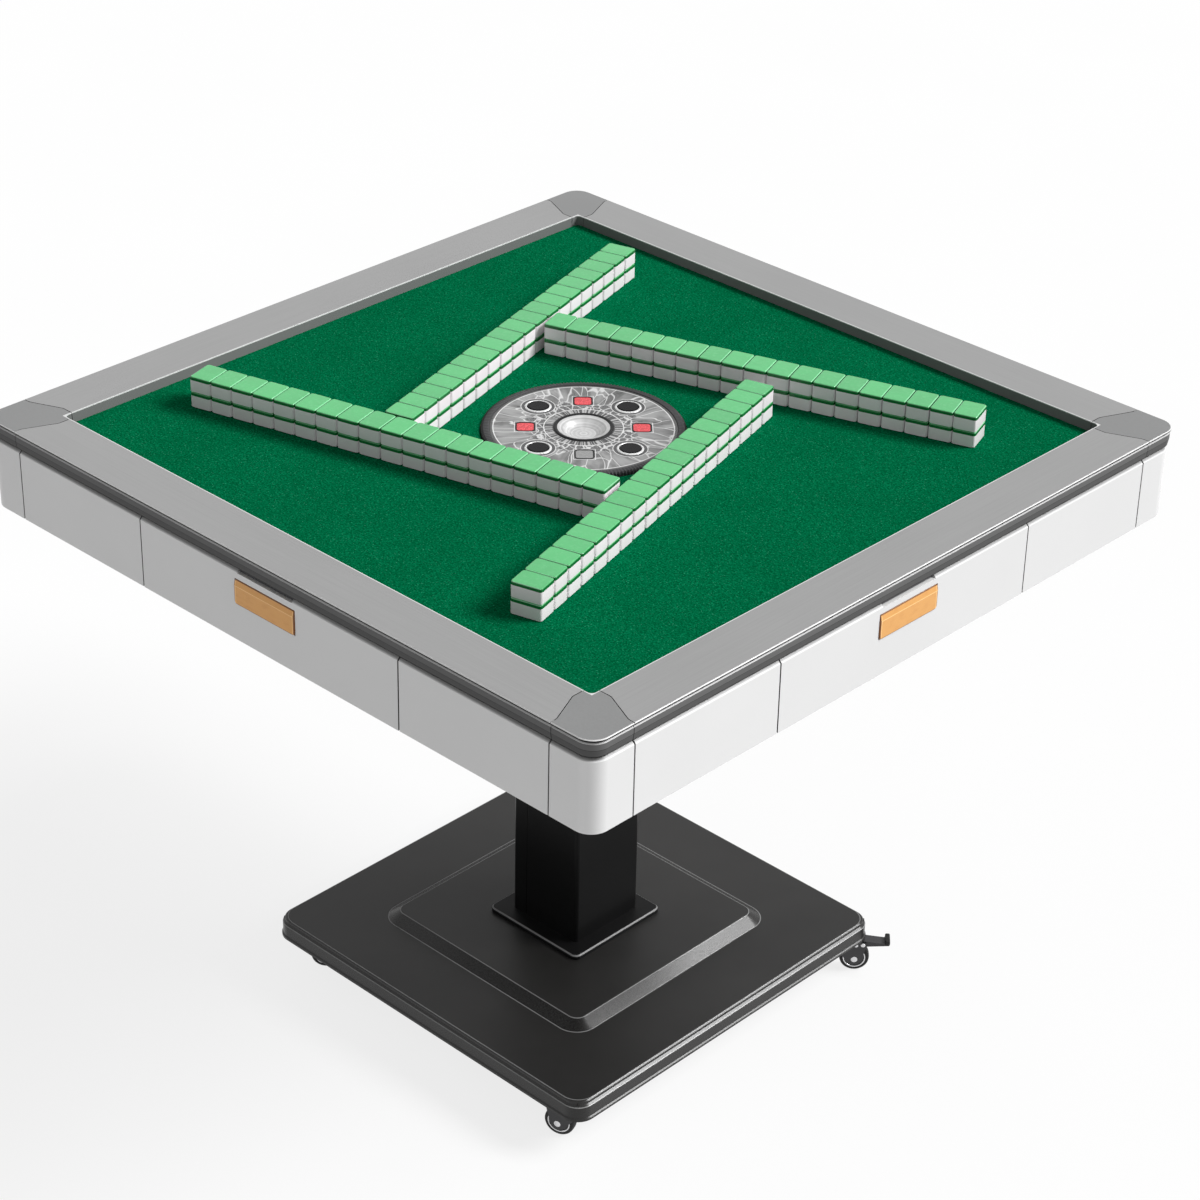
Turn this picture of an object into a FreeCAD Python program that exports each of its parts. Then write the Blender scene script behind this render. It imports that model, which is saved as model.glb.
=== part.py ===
"""Automatic mahjong table with drawers, on a single column with a square base and casters.

Millimetres, +Z up, the origin on the floor under the middle of the table.
The front side faces -Y. A piece that repeats is made for the front side, or for the
corner between the front and the right side, and turned about Z for the others.
"""
import FreeCAD, Part
import math
import os
import re

import Sketcher

SIDES = ("front", "right", "back", "left")
CORNERS = ("front_right", "back_right", "back_left", "front_left")
BRAKED = ("back_right", "front_left")
QUARTER = 90
FULL_TURN = 360
NEAR = 1e-6
ALONG_SHARE = 0.999

SIZES = {
    # overall
    "table_side": 970,
    "table_height": 775,
    # rails and corner caps
    "rail_width": 65.5,
    "rail_depth": 21.5,
    "rail_wall": 3.2,
    "rail_corner": 22,
    "lip_thick": 2.6,
    "lip_bevel": 1,
    "groove_depth": 3.4,
    "groove_width": 1.9,
    "fascia_inset": 1,
    "fascia_fold": 8.5,
    "fascia_taper": 1.5,
    "bead_bevel": 1.5,
    "web_inset": 20,
    "cap_reach": 58,
    "cap_tip": 76,
    "cap_neck": 16,
    "cap_shoulder": 9,
    "cap_bend": 11,
    "cap_seam": 0.7,
    # playing surface
    "cloth_drop": 13,
    "cloth_thick": 1,
    "cloth_edge": 0.3,
    "cloth_corner": 6,
    "deck_thick": 10,
    "deck_inset": 9,
    "deck_corner": 17,
    # skirt
    "skirt_inset": 2.5,
    "skirt_drop": 24.3,
    "skirt_height": 87.7,
    "skirt_wall": 5,
    "skirt_bevel": 3.2,
    "skirt_corner": 22,
    "skirt_seam": 62,
    "skirt_gap": 1.6,
    "flange_reach": 16,
    "flange_thick": 3,
    # drawers
    "drawer_width": 414,
    "drawer_travel": 150,
    "tray_width": 372,
    "tray_depth": 184,
    "tray_height": 46,
    "tray_wall": 2.5,
    "tray_corner": 12,
    "notch_width": 88,
    "notch_depth": 3.6,
    "handle_width": 97,
    "handle_height": 31,
    "handle_drop": 11,
    "handle_pocket": 2.2,
    "handle_thick": 3.8,
    "handle_corner": 4,
    "handle_fit": 0.3,
    "handle_bevel_height": 8,
    "handle_bevel_depth": 1.4,
    "runner_wall": 2.5,
    "runner_height": 24,
    "runner_ledge": 14,
    "slide_gap": 0.3,
    # chassis
    "pan_rise": 8,
    "pan_thick": 3,
    "pan_inset": 7,
    "frame_width": 22,
    "frame_height": 15,
    "post_inset": 7.5,
    "post_width": 22,
    # centre control disc
    "disc_radius": 118.5,
    "disc_gap": 1,
    "disc_rise": 5,
    "ring_width": 10,
    "ring_height": 10,
    "rib_depth": 1.2,
    "plate_inset": 0.3,
    "plate_drop": 1,
    "plate_flange": 3,
    "plate_flange_inset": 6,
    "bowl_radius": 31.5,
    "bowl_rim": 3.5,
    "bowl_rim_height": 1.5,
    "bowl_wall": 1.5,
    "bowl_depth": 7.5,
    "bowl_floor": 14,
    "button_circle": 74,
    "button_radius": 12.7,
    "button_rise": 1.5,
    "button_height": 9,
    "button_travel": 1.2,
    "button_crown": 1,
    "button_gap": 0.25,
    "lamp_circle": 67,
    "lamp_side": 20,
    "lamp_corner": 4,
    "lamp_thick": 2,
    "lamp_gap": 0.2,
    "lift_travel": 50,
    "post_radius": 10,
    "guide_wall": 6,
    "guide_head": 34,
    "guide_foot": 40,
    "guide_foot_thick": 10,
    "run_clearance": 0.05,
    # shuffle drum and drive
    "gear_module": 5,
    "gear_height": 8,
    "gear_backlash": 0.5,
    "drum_floor": 3,
    "drum_rim": 24,
    "drum_wall": 3,
    "drum_hub": 7,
    "drum_hub_height": 18,
    "drum_rise": 8,
    "fin_length": 120,
    "fin_thick": 6,
    "fin_height": 9,
    "pinion_height": 12,
    "shaft_radius": 5,
    "gearbox_side": 64,
    "gearbox_corner": 8,
    # control box and inlet
    "box_inset": 140.5,
    "box_length": 124,
    "box_width": 92,
    "box_height": 44,
    "box_lid": 4,
    "box_lid_rim": 3,
    "inlet_inset": 45.5,
    "inlet_length": 44,
    "inlet_width": 32,
    "inlet_flange": 2,
    "inlet_rim": 5,
    "inlet_body": 22,
    "inlet_wall": 1.6,
    "inlet_recess": 17,
    "inlet_pin": 2,
    "inlet_pin_depth": 4,
    "inlet_pin_height": 13,
    "inlet_pin_pitch": 8,
    # column and base
    "column_side": 110,
    "column_wall": 4,
    "column_corner": 5,
    "column_seam": 1.2,
    "column_seam_depth": 0.8,
    "column_seam_place": 24,
    "foot_side": 153,
    "foot_thick": 6,
    "foot_bevel": 2,
    "foot_corner": 9,
    "head_side": 220,
    "head_thick": 6,
    "base_side": 535.2,
    "base_floor": 49,
    "base_height": 26.5,
    "base_band": 19.2,
    "base_hem": 1.4,
    "base_hem_height": 3,
    "base_step_in": 3,
    "base_step_rise": 2.8,
    "base_plate_in": 1.4,
    "base_corner": 24,
    "base_wall": 3,
    "step_side": 348,
    "step_top_side": 318,
    "step_height": 9.8,
    "step_corner": 29,
    # casters
    "caster_inset": 31,
    "caster_trail": 21,
    "boss_side": 44,
    "boss_drop": 20,
    "stem_radius": 5,
    "stem_height": 17,
    "crown_radius": 15,
    "crown_height": 8,
    "wheel_radius": 19,
    "wheel_width": 14,
    "tread_crown": 1.2,
    "rim_radius": 14.5,
    "rim_recess": 2,
    "hub_radius": 6,
    "axle_radius": 3,
    "cheek_thick": 2.5,
    "cheek_gap": 1.2,
    "cheek_radius": 8,
    "cheek_reach": 12,
    "lever_pivot_reach": 31,
    "lever_pivot_height": 41.5,
    "lever_pin_radius": 2,
    "lever_eye": 4,
    "lever_reach": 33,
    "lever_width": 15,
    "lever_thick": 3,
    "lever_tab": 6,
    "turn_front_right": 200,
    "turn_back_right": 41,
    "turn_back_left": 315,
    "turn_front_left": 45,
    # tile walls
    "tile_length": 38.5,
    "tile_width": 28.8,
    "tile_height": 19.8,
    "tile_bevel": 1.3,
    "wall_front_x": -99,
    "wall_front_y": -196,
    "wall_front_turn": 15.1,
    "wall_right_x": 182,
    "wall_right_y": -84,
    "wall_right_turn": 105.4,
    "wall_back_x": 77,
    "wall_back_y": 217,
    "wall_back_turn": 19,
    "wall_left_x": -194.2,
    "wall_left_y": 84.2,
    "wall_left_turn": 106,
    # how far a cutting tool runs past the face that it cuts
    "overrun": 2,
}

RIB_COUNT = 90
DRUM_TEETH = 90
PINION_TEETH = 12
FIN_COUNT = 4
TILES_PER_ROW = 19
ROWS = 2
TOOTH_ROOT_SHARE = 0.66
TOOTH_TIP_SHARE = 0.26
TOOTH_REACH_SHARE = 0.85
TOOTH_DEPTH_SHARE = 1.1
RIB_SHARES = (0, 0.25, 0.5, 0.75)

# Levels and places that several pieces share, worked out from the sizes.
PLACES = {
    "half": "table_side / 2",
    "rail_bottom": "table_height - rail_depth",
    "groove_top": "table_height - lip_thick",
    "groove_floor": "table_height - lip_thick - groove_width",
    "cloth_top": "table_height - cloth_drop",
    "deck_top": "table_height - cloth_drop - cloth_thick",
    "deck_bottom": "table_height - cloth_drop - cloth_thick - deck_thick",
    "skirt_half": "table_side / 2 - skirt_inset",
    "skirt_inner": "table_side / 2 - skirt_inset - skirt_wall",
    "skirt_top": "table_height - skirt_drop",
    "skirt_bottom": "table_height - skirt_drop - skirt_height",
    "pan_bottom": "table_height - skirt_drop - skirt_height + pan_rise",
    "pan_top": "table_height - skirt_drop - skirt_height + pan_rise + pan_thick",
    "pan_half": "table_side / 2 - skirt_inset - skirt_wall - pan_inset",
    "disc_top": "table_height - cloth_drop + disc_rise",
    "base_top": "base_floor + base_height",
    "wheel_level": "wheel_radius",
}

DOC = FreeCAD.newDocument("mahjong_table")
SHEET = DOC.addObject("Spreadsheet::Sheet", "dims")
NODES = []


def fill_sheet():
    """Write every size, and every shared place as a formula, into an aliased cell."""
    for row, (name, size) in enumerate(SIZES.items(), start=1):
        SHEET.set(f"A{row}", str(size))
        SHEET.setAlias(f"A{row}", name)
    for row, (name, formula) in enumerate(PLACES.items(), start=1):
        SHEET.set(f"B{row}", "=" + formula)
        SHEET.setAlias(f"B{row}", name)
    DOC.recompute()


def bound(formula):
    """The formula with each name read from the sheet."""
    return re.sub(r"[a-z][a-z_0-9]*", lambda match: "dims." + match.group(0), formula)


def size(formula):
    """The formula's value."""
    result = SHEET.evalExpression(bound(formula))
    return float(getattr(result, "Value", result))


def bind(thing, **formulas):
    """Bind properties of a document object to formulas; a double underscore stands for a dot."""
    for name, formula in formulas.items():
        thing.setExpression(name.replace("__", "."), bound(formula))
    return thing


def place(thing, x="0", y="0", z="0", turn=0):
    """Place an object at a bound point, turned about Z by a fixed angle."""
    thing.Placement.Rotation = FreeCAD.Rotation(FreeCAD.Vector(0, 0, 1), turn)
    return bind(thing, Placement__Base__x=x, Placement__Base__y=y, Placement__Base__z=z)


def turned(thing, turn):
    """Turn an object about the table's own upright axis."""
    thing.Placement = FreeCAD.Placement(
        FreeCAD.Vector(), FreeCAD.Rotation(FreeCAD.Vector(0, 0, 1), turn)
    )
    return thing


def node(thing, name):
    """Name an object as a finished piece."""
    thing.Label = name
    NODES.append(thing)
    return thing


def box(name, length, width, height, x="0", y="0", z="0"):
    """A box whose base is centred on x and y and starts at z."""
    thing = DOC.addObject("Part::Box", name)
    bind(thing, Length=length, Width=width, Height=height)
    return place(thing, f"{x} - ({length}) / 2", f"{y} - ({width}) / 2", z)


def cylinder(name, radius, height, x="0", y="0", z="0"):
    """An upright cylinder that starts at z."""
    thing = DOC.addObject("Part::Cylinder", name)
    bind(thing, Radius=radius, Height=height)
    return place(thing, x, y, z)


def fuse(name, things):
    """The union of several objects."""
    thing = DOC.addObject("Part::MultiFuse", name)
    thing.Shapes = things
    return thing


def cut(name, base, tool):
    """One object less another."""
    thing = DOC.addObject("Part::Cut", name)
    thing.Base = base
    thing.Tool = tool
    return thing


def feature(name, shape):
    """An object that holds a shape worked out here."""
    thing = DOC.addObject("Part::Feature", name)
    thing.Shape = shape
    return thing


def new_body(name):
    """An empty body."""
    return DOC.addObject("PartDesign::Body", name)


def plane_of(body, role):
    """One of a body's own origin planes."""
    return next(item for item in body.Origin.OriginFeatures if item.Role == role)


def sketch_on(body, role, level="0"):
    """A sketch on one of the body's planes, moved out along the plane's normal."""
    sketch = body.newObject("Sketcher::SketchObject", "outline")
    sketch.AttachmentSupport = (plane_of(body, role), [""])
    sketch.MapMode = "FlatFace"
    bind(sketch, AttachmentOffset__Base__z=level)
    return sketch


def draw(sketch, points):
    """Draw a closed outline of straight lines, with every corner bound to its two formulas."""
    first = len(sketch.Geometry)
    count = len(points)
    spots = [FreeCAD.Vector(size(x), size(y), 0) for x, y in points]
    for index in range(count):
        sketch.addGeometry(Part.LineSegment(spots[index], spots[(index + 1) % count]), False)
    for index in range(count):
        follower = first + (index + 1) % count
        sketch.addConstraint(Sketcher.Constraint("Coincident", first + index, 2, follower, 1))
    for index, point in enumerate(points):
        for kind, formula in zip(("DistanceX", "DistanceY"), point):
            rule = Sketcher.Constraint(kind, -1, 1, first + index, 1, size(formula))
            sketch.setExpression(f"Constraints[{sketch.addConstraint(rule)}]", bound(formula))
    return sketch


def rectangle(sketch, length, width, x="0", y="0"):
    """Draw a rectangle centred on a point."""
    left, right = f"{x} - ({length}) / 2", f"{x} + ({length}) / 2"
    low, high = f"{y} - ({width}) / 2", f"{y} + ({width}) / 2"
    return draw(sketch, [(left, low), (right, low), (right, high), (left, high)])


def circle(sketch, radius, x="0", y="0"):
    """Draw a circle whose radius and centre are bound."""
    index = len(sketch.Geometry)
    centre = FreeCAD.Vector(size(x), size(y), 0)
    sketch.addGeometry(Part.Circle(centre, FreeCAD.Vector(0, 0, 1), size(radius)), False)
    for kind, formula in (("DistanceX", x), ("DistanceY", y)):
        rule = Sketcher.Constraint(kind, -1, 1, index, 3, size(formula))
        sketch.setExpression(f"Constraints[{sketch.addConstraint(rule)}]", bound(formula))
    rule = Sketcher.Constraint("Radius", index, size(radius))
    sketch.setExpression(f"Constraints[{sketch.addConstraint(rule)}]", bound(radius))
    return sketch


def pad(body, sketch, length, midplane=False):
    """Add material along the sketch's normal."""
    thing = body.newObject("PartDesign::Pad", "pad")
    thing.Profile = sketch
    thing.Midplane = midplane
    return bind(thing, Length=length)


def pocket(body, sketch, length, along_normal=True):
    """Take material away along the sketch's normal, or against it."""
    thing = body.newObject("PartDesign::Pocket", "pocket")
    thing.Profile = sketch
    thing.Reversed = along_normal
    return bind(thing, Length=length)


def revolve(body, points):
    """A full turn of an outline, given as radius and height, about the upright axis."""
    sketch = draw(sketch_on(body, "XZ_Plane"), points)
    thing = body.newObject("PartDesign::Revolution", "turned_form")
    thing.Profile = sketch
    thing.ReferenceAxis = (sketch, ["V_Axis"])
    thing.Angle = FULL_TURN
    return thing


def round_edges(body, radius, chosen):
    """Fillet the edges of the body's last feature that the test picks out."""
    DOC.recompute()
    base = body.Tip
    names = [f"Edge{n}" for n, edge in enumerate(base.Shape.Edges, start=1) if chosen(edge)]
    thing = body.newObject("PartDesign::Fillet", "rounding")
    thing.Base = (base, names)
    return bind(thing, Radius=radius)


def upright(edge):
    """Whether an edge is a straight upright line."""
    return edge.Curve.TypeId == "Part::GeomLine" and abs(edge.tangentAt(edge.FirstParameter).z) > ALONG_SHARE


def rounded_wire(points, radii):
    """A closed wire through the points, each corner rounded by a tangent arc of its radius."""
    edges = []
    ends = []
    count = len(points)
    for index, point in enumerate(points):
        before = (points[index - 1] - point).normalize()
        after = (points[(index + 1) % count] - point).normalize()
        angle = before.getAngle(after)
        run = radii[index] / math.tan(angle / 2)
        start, stop = point + before * run, point + after * run
        if radii[index] > 0:
            inward = (before + after).normalize()
            crest = point + inward * (radii[index] / math.sin(angle / 2) - radii[index])
            edges.append(Part.Arc(start, crest, stop).toShape())
        ends.append((start, stop))
    for index in range(count):
        start, stop = ends[index][1], ends[(index + 1) % count][0]
        if (stop - start).Length > NEAR:
            edges.append(Part.LineSegment(start, stop).toShape())
    return Part.Wire(Part.__sortEdges__(edges))


def prism(points, radii, low, high):
    """A solid with a rounded outline between two levels."""
    face = Part.Face(rounded_wire(points, radii))
    face.translate(FreeCAD.Vector(0, 0, low))
    return face.extrude(FreeCAD.Vector(0, 0, high - low))


def square_points(half_length, half_width):
    """The corners of a rectangle round the origin."""
    signs = ((-1, -1), (1, -1), (1, 1), (-1, 1))
    return [FreeCAD.Vector(a * half_length, b * half_width, 0) for a, b in signs]


def corner_turn(index):
    """The angle that takes the front right corner, or the front side, to another one."""
    return index * QUARTER


def cap_outline(inset, seam):
    """A corner cap's plan for the front right corner: its outer sides moved in by inset,
    and its two S-shaped seams moved along the rails by seam."""
    half, outer = size("half"), size("half") - inset
    inner = size("half - rail_width")
    tip, reach = half - size("cap_tip") - seam, half - size("cap_reach") - seam
    neck, shoulder = size("half - rail_width + cap_neck"), size("half - cap_shoulder")
    bend = size("cap_bend")
    points = [
        (inner, -inner, size("cloth_corner")),
        (inner, -tip, 0),
        (neck, -tip, bend),
        (shoulder, -reach, bend),
        (outer, -reach, 0),
        (outer, -outer, max(size("rail_corner") - inset, 0)),
        (reach, -outer, 0),
        (reach, -shoulder, bend),
        (tip, -neck, bend),
        (tip, -inner, 0),
    ]
    return [FreeCAD.Vector(x, y, 0) for x, y, radius in points], [radius for x, y, radius in points]


def rails():
    """Four extruded rails, their ends cut to the caps' seams."""
    outer = "-half"
    inner = "-(half - rail_width)"
    wall = "rail_wall"
    roof = "table_height - rail_wall - lip_bevel"
    fascia = "-(half - fascia_inset)"
    web = "-(half - rail_width + web_inset)"
    section = [
        (inner, "table_height"),
        (inner, "deck_top"),
        (f"{inner} - {wall}", "deck_top"),
        (f"{inner} - {wall}", roof),
        (web, roof),
        (web, "deck_top"),
        (f"{web} - {wall}", "deck_top"),
        (f"{web} - {wall}", roof),
        (f"{fascia} + groove_depth + {wall}", roof),
        (f"{fascia} + groove_depth + {wall}", f"groove_floor - {wall}"),
        (f"{fascia} + {wall}", f"groove_floor - {wall}"),
        (f"{fascia} + {wall}", "rail_bottom"),
        (f"{fascia} + fascia_taper", "rail_bottom"),
        (fascia, "rail_bottom + fascia_fold"),
        (fascia, "groove_floor - bead_bevel"),
        (f"{fascia} + bead_bevel", "groove_floor"),
        (f"{outer} + groove_depth", "groove_floor"),
        (f"{outer} + groove_depth", "groove_top"),
        (outer, "groove_top"),
        (outer, "table_height - lip_bevel"),
        (f"{outer} + lip_bevel", "table_height"),
    ]
    seam = size("cap_seam")
    low, high = size("rail_bottom - overrun"), size("table_height + overrun")
    points, radii = cap_outline(-size("overrun"), seam)
    for index, side in enumerate(SIDES):
        blank = new_body(f"rail_{side}_blank")
        profile = draw(sketch_on(blank, "YZ_Plane"), section)
        pad(blank, profile, "table_side - 2 * (cap_reach + cap_seam)", True)
        ends = []
        for corner in (0, -1):
            tool = prism(points, radii, low, high)
            tool.rotate(FreeCAD.Vector(), FreeCAD.Vector(0, 0, 1), corner_turn(corner))
            ends.append(tool)
        trimmed = cut(f"rail_{side}", blank, feature(f"rail_{side}_ends", Part.Compound(ends)))
        node(turned(trimmed, corner_turn(index)), f"rail_{side}")


def cap_slab(low_inset, low, high_inset, high):
    """A slab of a corner cap between two levels, whose outer sides slope between two insets."""
    wires = []
    for inset, level in ((low_inset, low), (high_inset, high)):
        wire = rounded_wire(*cap_outline(inset, 0))
        wire.translate(FreeCAD.Vector(0, 0, level))
        wires.append(wire)
    return Part.makeLoft(wires, True, True)


def corner_caps():
    """Four corner caps that carry the rails' lip, groove, bead and fascia round the corner."""
    top, bottom = size("table_height"), size("rail_bottom")
    inset, neck = size("fascia_inset"), size("groove_depth")
    fold, bead = size("rail_bottom + fascia_fold"), size("groove_floor - bead_bevel")
    floor, roof = size("groove_floor"), size("groove_top")
    layers = (
        (inset + size("fascia_taper"), bottom, inset, fold),
        (inset, fold, inset, bead),
        (inset, bead, inset + size("bead_bevel"), floor),
        (neck, floor, neck, roof),
        (0, roof, 0, top),
    )
    half = size("half")
    for index, corner in enumerate(CORNERS):
        slabs = [cap_slab(*layer) for layer in layers]
        shape = slabs[0].fuse(slabs[1:]).removeSplitter()
        rim = [
            edge
            for edge in shape.Edges
            if min(v.Z for v in edge.Vertexes) > top - NEAR
            and min(max(abs(v.X), abs(v.Y)) for v in edge.Vertexes) > half - NEAR
        ]
        shape = shape.makeChamfer(size("lip_bevel"), rim)
        room = size("half - fascia_inset - rail_wall")
        bend = max(size("rail_corner - fascia_inset - rail_wall"), 0)
        hollow = prism(square_points(room, room), [bend] * 4, size("rail_bottom - overrun"), size("deck_top"))
        blank = feature(f"corner_cap_{corner}_blank", shape)
        trimmed = cut(f"corner_cap_{corner}", blank, feature(f"corner_cap_{corner}_room", hollow))
        node(turned(trimmed, corner_turn(index)), f"corner_cap_{corner}")


def playing_surface():
    """The deck board and the cloth on it, both open in the middle for the control disc."""
    hole = "disc_radius + disc_gap"
    deck = new_body("deck_board")
    side = "2 * (half - deck_inset)"
    pad(deck, rectangle(sketch_on(deck, "XY_Plane", "deck_bottom"), side, side), "deck_thick")
    round_edges(deck, "deck_corner", upright)
    pocket(deck, circle(sketch_on(deck, "XY_Plane", "deck_bottom"), hole), "deck_thick")
    node(deck, "deck_board")
    cloth = new_body("playing_cloth")
    side = "2 * (half - rail_width - cloth_edge)"
    pad(cloth, rectangle(sketch_on(cloth, "XY_Plane", "deck_top"), side, side), "cloth_thick")
    round_edges(cloth, "cloth_corner - cloth_edge", upright)
    pocket(cloth, circle(sketch_on(cloth, "XY_Plane", "deck_top"), hole), "cloth_thick")
    node(cloth, "playing_cloth")


def skirt():
    """Four rounded skirt corners, and on each side a panel left and right of the drawer."""
    low, high = size("skirt_bottom"), size("skirt_top")
    half, inner = size("skirt_half"), size("skirt_inner")
    seam = size("half - skirt_seam + skirt_gap / 2")
    bend, bend_in = size("skirt_corner"), max(size("skirt_corner - skirt_wall"), 0)
    leg = [(seam, -half, 0), (half, -half, bend), (half, -seam, 0)]
    leg += [(inner, -seam, 0), (inner, -inner, bend_in), (seam, -inner, 0)]
    points = [FreeCAD.Vector(x, y, 0) for x, y, radius in leg]
    radii = [radius for x, y, radius in leg]
    for index, corner in enumerate(CORNERS):
        shape = prism(points, radii, low, high)
        rim = [
            edge
            for edge in shape.Edges
            if min(v.Z for v in edge.Vertexes) > high - NEAR
            and min(max(abs(v.X), abs(v.Y)) for v in edge.Vertexes) > half - NEAR
        ]
        piece = feature(f"skirt_corner_{corner}", shape.makeChamfer(size("skirt_bevel"), rim))
        node(turned(piece, corner_turn(index)), f"skirt_corner_{corner}")
    section = [
        ("-skirt_half", "skirt_bottom"),
        ("-skirt_inner", "skirt_bottom"),
        ("-skirt_inner", "pan_bottom - flange_thick"),
        ("-(skirt_inner - flange_reach)", "pan_bottom - flange_thick"),
        ("-(skirt_inner - flange_reach)", "pan_bottom"),
        ("-skirt_inner", "pan_bottom"),
        ("-skirt_inner", "skirt_top"),
        ("-(skirt_half - skirt_bevel)", "skirt_top"),
        ("-skirt_half", "skirt_top - skirt_bevel"),
    ]
    run = "half - skirt_seam - drawer_width / 2 - skirt_gap"
    middle = "(half - skirt_seam + drawer_width / 2) / 2"
    for index, side in enumerate(SIDES):
        pair = []
        for sign in ("-", "+"):
            panel = new_body(f"skirt_panel_{side}")
            pad(panel, draw(sketch_on(panel, "YZ_Plane"), section), run, True)
            pair.append(place(panel, x=f"0 {sign} {middle}"))
        group = DOC.addObject("Part::Compound", f"skirt_panels_{side}")
        group.Links = pair
        node(turned(group, corner_turn(index)), f"skirt_panels_{side}")


def handle_level():
    """The formula for the middle height of a drawer's handle."""
    return "(skirt_top - handle_drop - handle_height / 2)"


def tray_level():
    """The formula for the underside of a drawer's tray."""
    return "(pan_top + runner_wall + slide_gap)"


def drawers():
    """Four drawers, each moulded in one with its front, and the handle plate let into it."""
    tray_back = "(skirt_inner - tray_depth)"
    front_middle = "-(skirt_half + skirt_inner) / 2"
    for index, side in enumerate(SIDES):
        drawer = new_body(f"drawer_{side}")
        front = sketch_on(drawer, "XY_Plane", "skirt_bottom")
        rectangle(front, "drawer_width - skirt_gap", "skirt_wall", y=front_middle)
        pad(drawer, front, "skirt_height")
        bevel = [
            ("-skirt_half", "skirt_top - skirt_bevel"),
            ("-(skirt_half - skirt_bevel)", "skirt_top"),
            ("-(skirt_half - skirt_bevel)", "skirt_top + overrun"),
            ("-(skirt_half + overrun)", "skirt_top + overrun"),
            ("-(skirt_half + overrun)", "skirt_top - skirt_bevel"),
        ]
        shave = pocket(drawer, draw(sketch_on(drawer, "YZ_Plane"), bevel), "drawer_width + overrun")
        shave.Midplane = True
        notch = sketch_on(drawer, "XY_Plane", "skirt_top - notch_depth")
        rectangle(notch, "notch_width", "skirt_wall + overrun", y=front_middle)
        pocket(drawer, notch, "notch_depth + overrun")
        tray = sketch_on(drawer, "XY_Plane", tray_level())
        rectangle(tray, "tray_width", "tray_depth", y=f"-(skirt_inner + {tray_back}) / 2")
        pad(drawer, tray, "tray_height")
        back = size(f"-{tray_back}") - NEAR
        round_edges(drawer, "tray_corner", lambda edge: upright(edge) and edge.CenterOfMass.y > back)
        inside = sketch_on(drawer, "XY_Plane", f"{tray_level()} + tray_wall")
        depth = "tray_depth - 2 * tray_wall"
        rectangle(inside, "tray_width - 2 * tray_wall", depth, y=f"-(skirt_inner + {tray_back}) / 2")
        pocket(drawer, inside, "tray_height")
        recess = sketch_on(drawer, "XZ_Plane", "skirt_half - handle_pocket")
        rectangle(recess, "handle_width", "handle_height", y=handle_level())
        pocket(drawer, recess, "handle_pocket + overrun")
        node(turned(drawer, corner_turn(index)), f"drawer_{side}")
        node(turned(handle_plate(side), corner_turn(index)), f"drawer_handle_{side}")


def handle_plate(side):
    """A handle plate with a sloping upper band, seated in the front's recess."""
    face = "-(skirt_half - handle_pocket + handle_thick)"
    seat = "-(skirt_half - handle_pocket)"
    top = f"{handle_level()} + handle_height / 2 - handle_fit"
    low = f"{handle_level()} - handle_height / 2 + handle_fit"
    section = [
        (seat, low),
        (face, low),
        (face, f"{top} - handle_bevel_height"),
        (f"{face} + handle_bevel_depth", top),
        (seat, top),
    ]
    plate = new_body(f"drawer_handle_{side}")
    pad(plate, draw(sketch_on(plate, "YZ_Plane"), section), "handle_width - 2 * handle_fit", True)
    round_edges(plate, "handle_corner", lambda edge: abs(edge.tangentAt(edge.FirstParameter).y) > ALONG_SHARE)
    return plate


def drawer_runners():
    """Two angle runners under each drawer, standing on the pan."""
    section = [
        ("tray_width / 2 + slide_gap", "pan_top"),
        ("tray_width / 2 + slide_gap + runner_wall", "pan_top"),
        ("tray_width / 2 + slide_gap + runner_wall", "pan_top + runner_height"),
        ("tray_width / 2 + slide_gap", "pan_top + runner_height"),
        ("tray_width / 2 + slide_gap", "pan_top + runner_wall"),
        ("tray_width / 2 - runner_ledge", "pan_top + runner_wall"),
        ("tray_width / 2 - runner_ledge", "pan_top"),
    ]
    pieces = []
    for index in range(len(SIDES)):
        pair = []
        for mirror in (1, -1):
            runner = new_body("runner")
            shown = section if mirror > 0 else [(f"-({x})", z) for x, z in section]
            profile = draw(sketch_on(runner, "XZ_Plane", "skirt_inner - tray_depth"), shown)
            pad(runner, profile, "tray_depth - pan_inset - slide_gap")
            pair.append(runner)
        group = DOC.addObject("Part::Compound", "runner_pair")
        group.Links = pair
        pieces.append(turned(group, corner_turn(index)))
    group = DOC.addObject("Part::Compound", "drawer_runners")
    group.Links = pieces
    node(group, "drawer_runners")


def chassis():
    """The welded frame under the deck with its corner posts, and the bottom pan."""
    ring = new_body("chassis_ring")
    outer = "2 * skirt_inner"
    low = "deck_bottom - frame_height"
    pad(ring, rectangle(sketch_on(ring, "XY_Plane", low), outer, outer), "frame_height")
    round_edges(ring, "skirt_corner - skirt_wall + slide_gap", upright)
    inner = "2 * (skirt_inner - frame_width)"
    pocket(ring, rectangle(sketch_on(ring, "XY_Plane", low), inner, inner), "frame_height")
    spot = "(skirt_inner - post_inset - post_width / 2)"
    height = "deck_bottom - frame_height - pan_top"
    posts = [
        box("chassis_post", "post_width", "post_width", height, f"0 {a} {spot}", f"0 {b} {spot}", "pan_top")
        for a in "-+"
        for b in "-+"
    ]
    node(fuse("chassis_frame", [ring] + posts), "chassis_frame")
    pan = new_body("bottom_pan")
    side = "2 * pan_half"
    pad(pan, rectangle(sketch_on(pan, "XY_Plane", "pan_bottom"), side, side), "pan_thick")
    round_edges(pan, "deck_corner", upright)
    window = sketch_on(pan, "XY_Plane", "pan_bottom")
    length, width = "inlet_length - 2 * inlet_rim", "inlet_width - 2 * inlet_rim"
    pocket(pan, rectangle(window, length, width, *inlet_place()), "pan_thick")
    node(pan, "bottom_pan")


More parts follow.
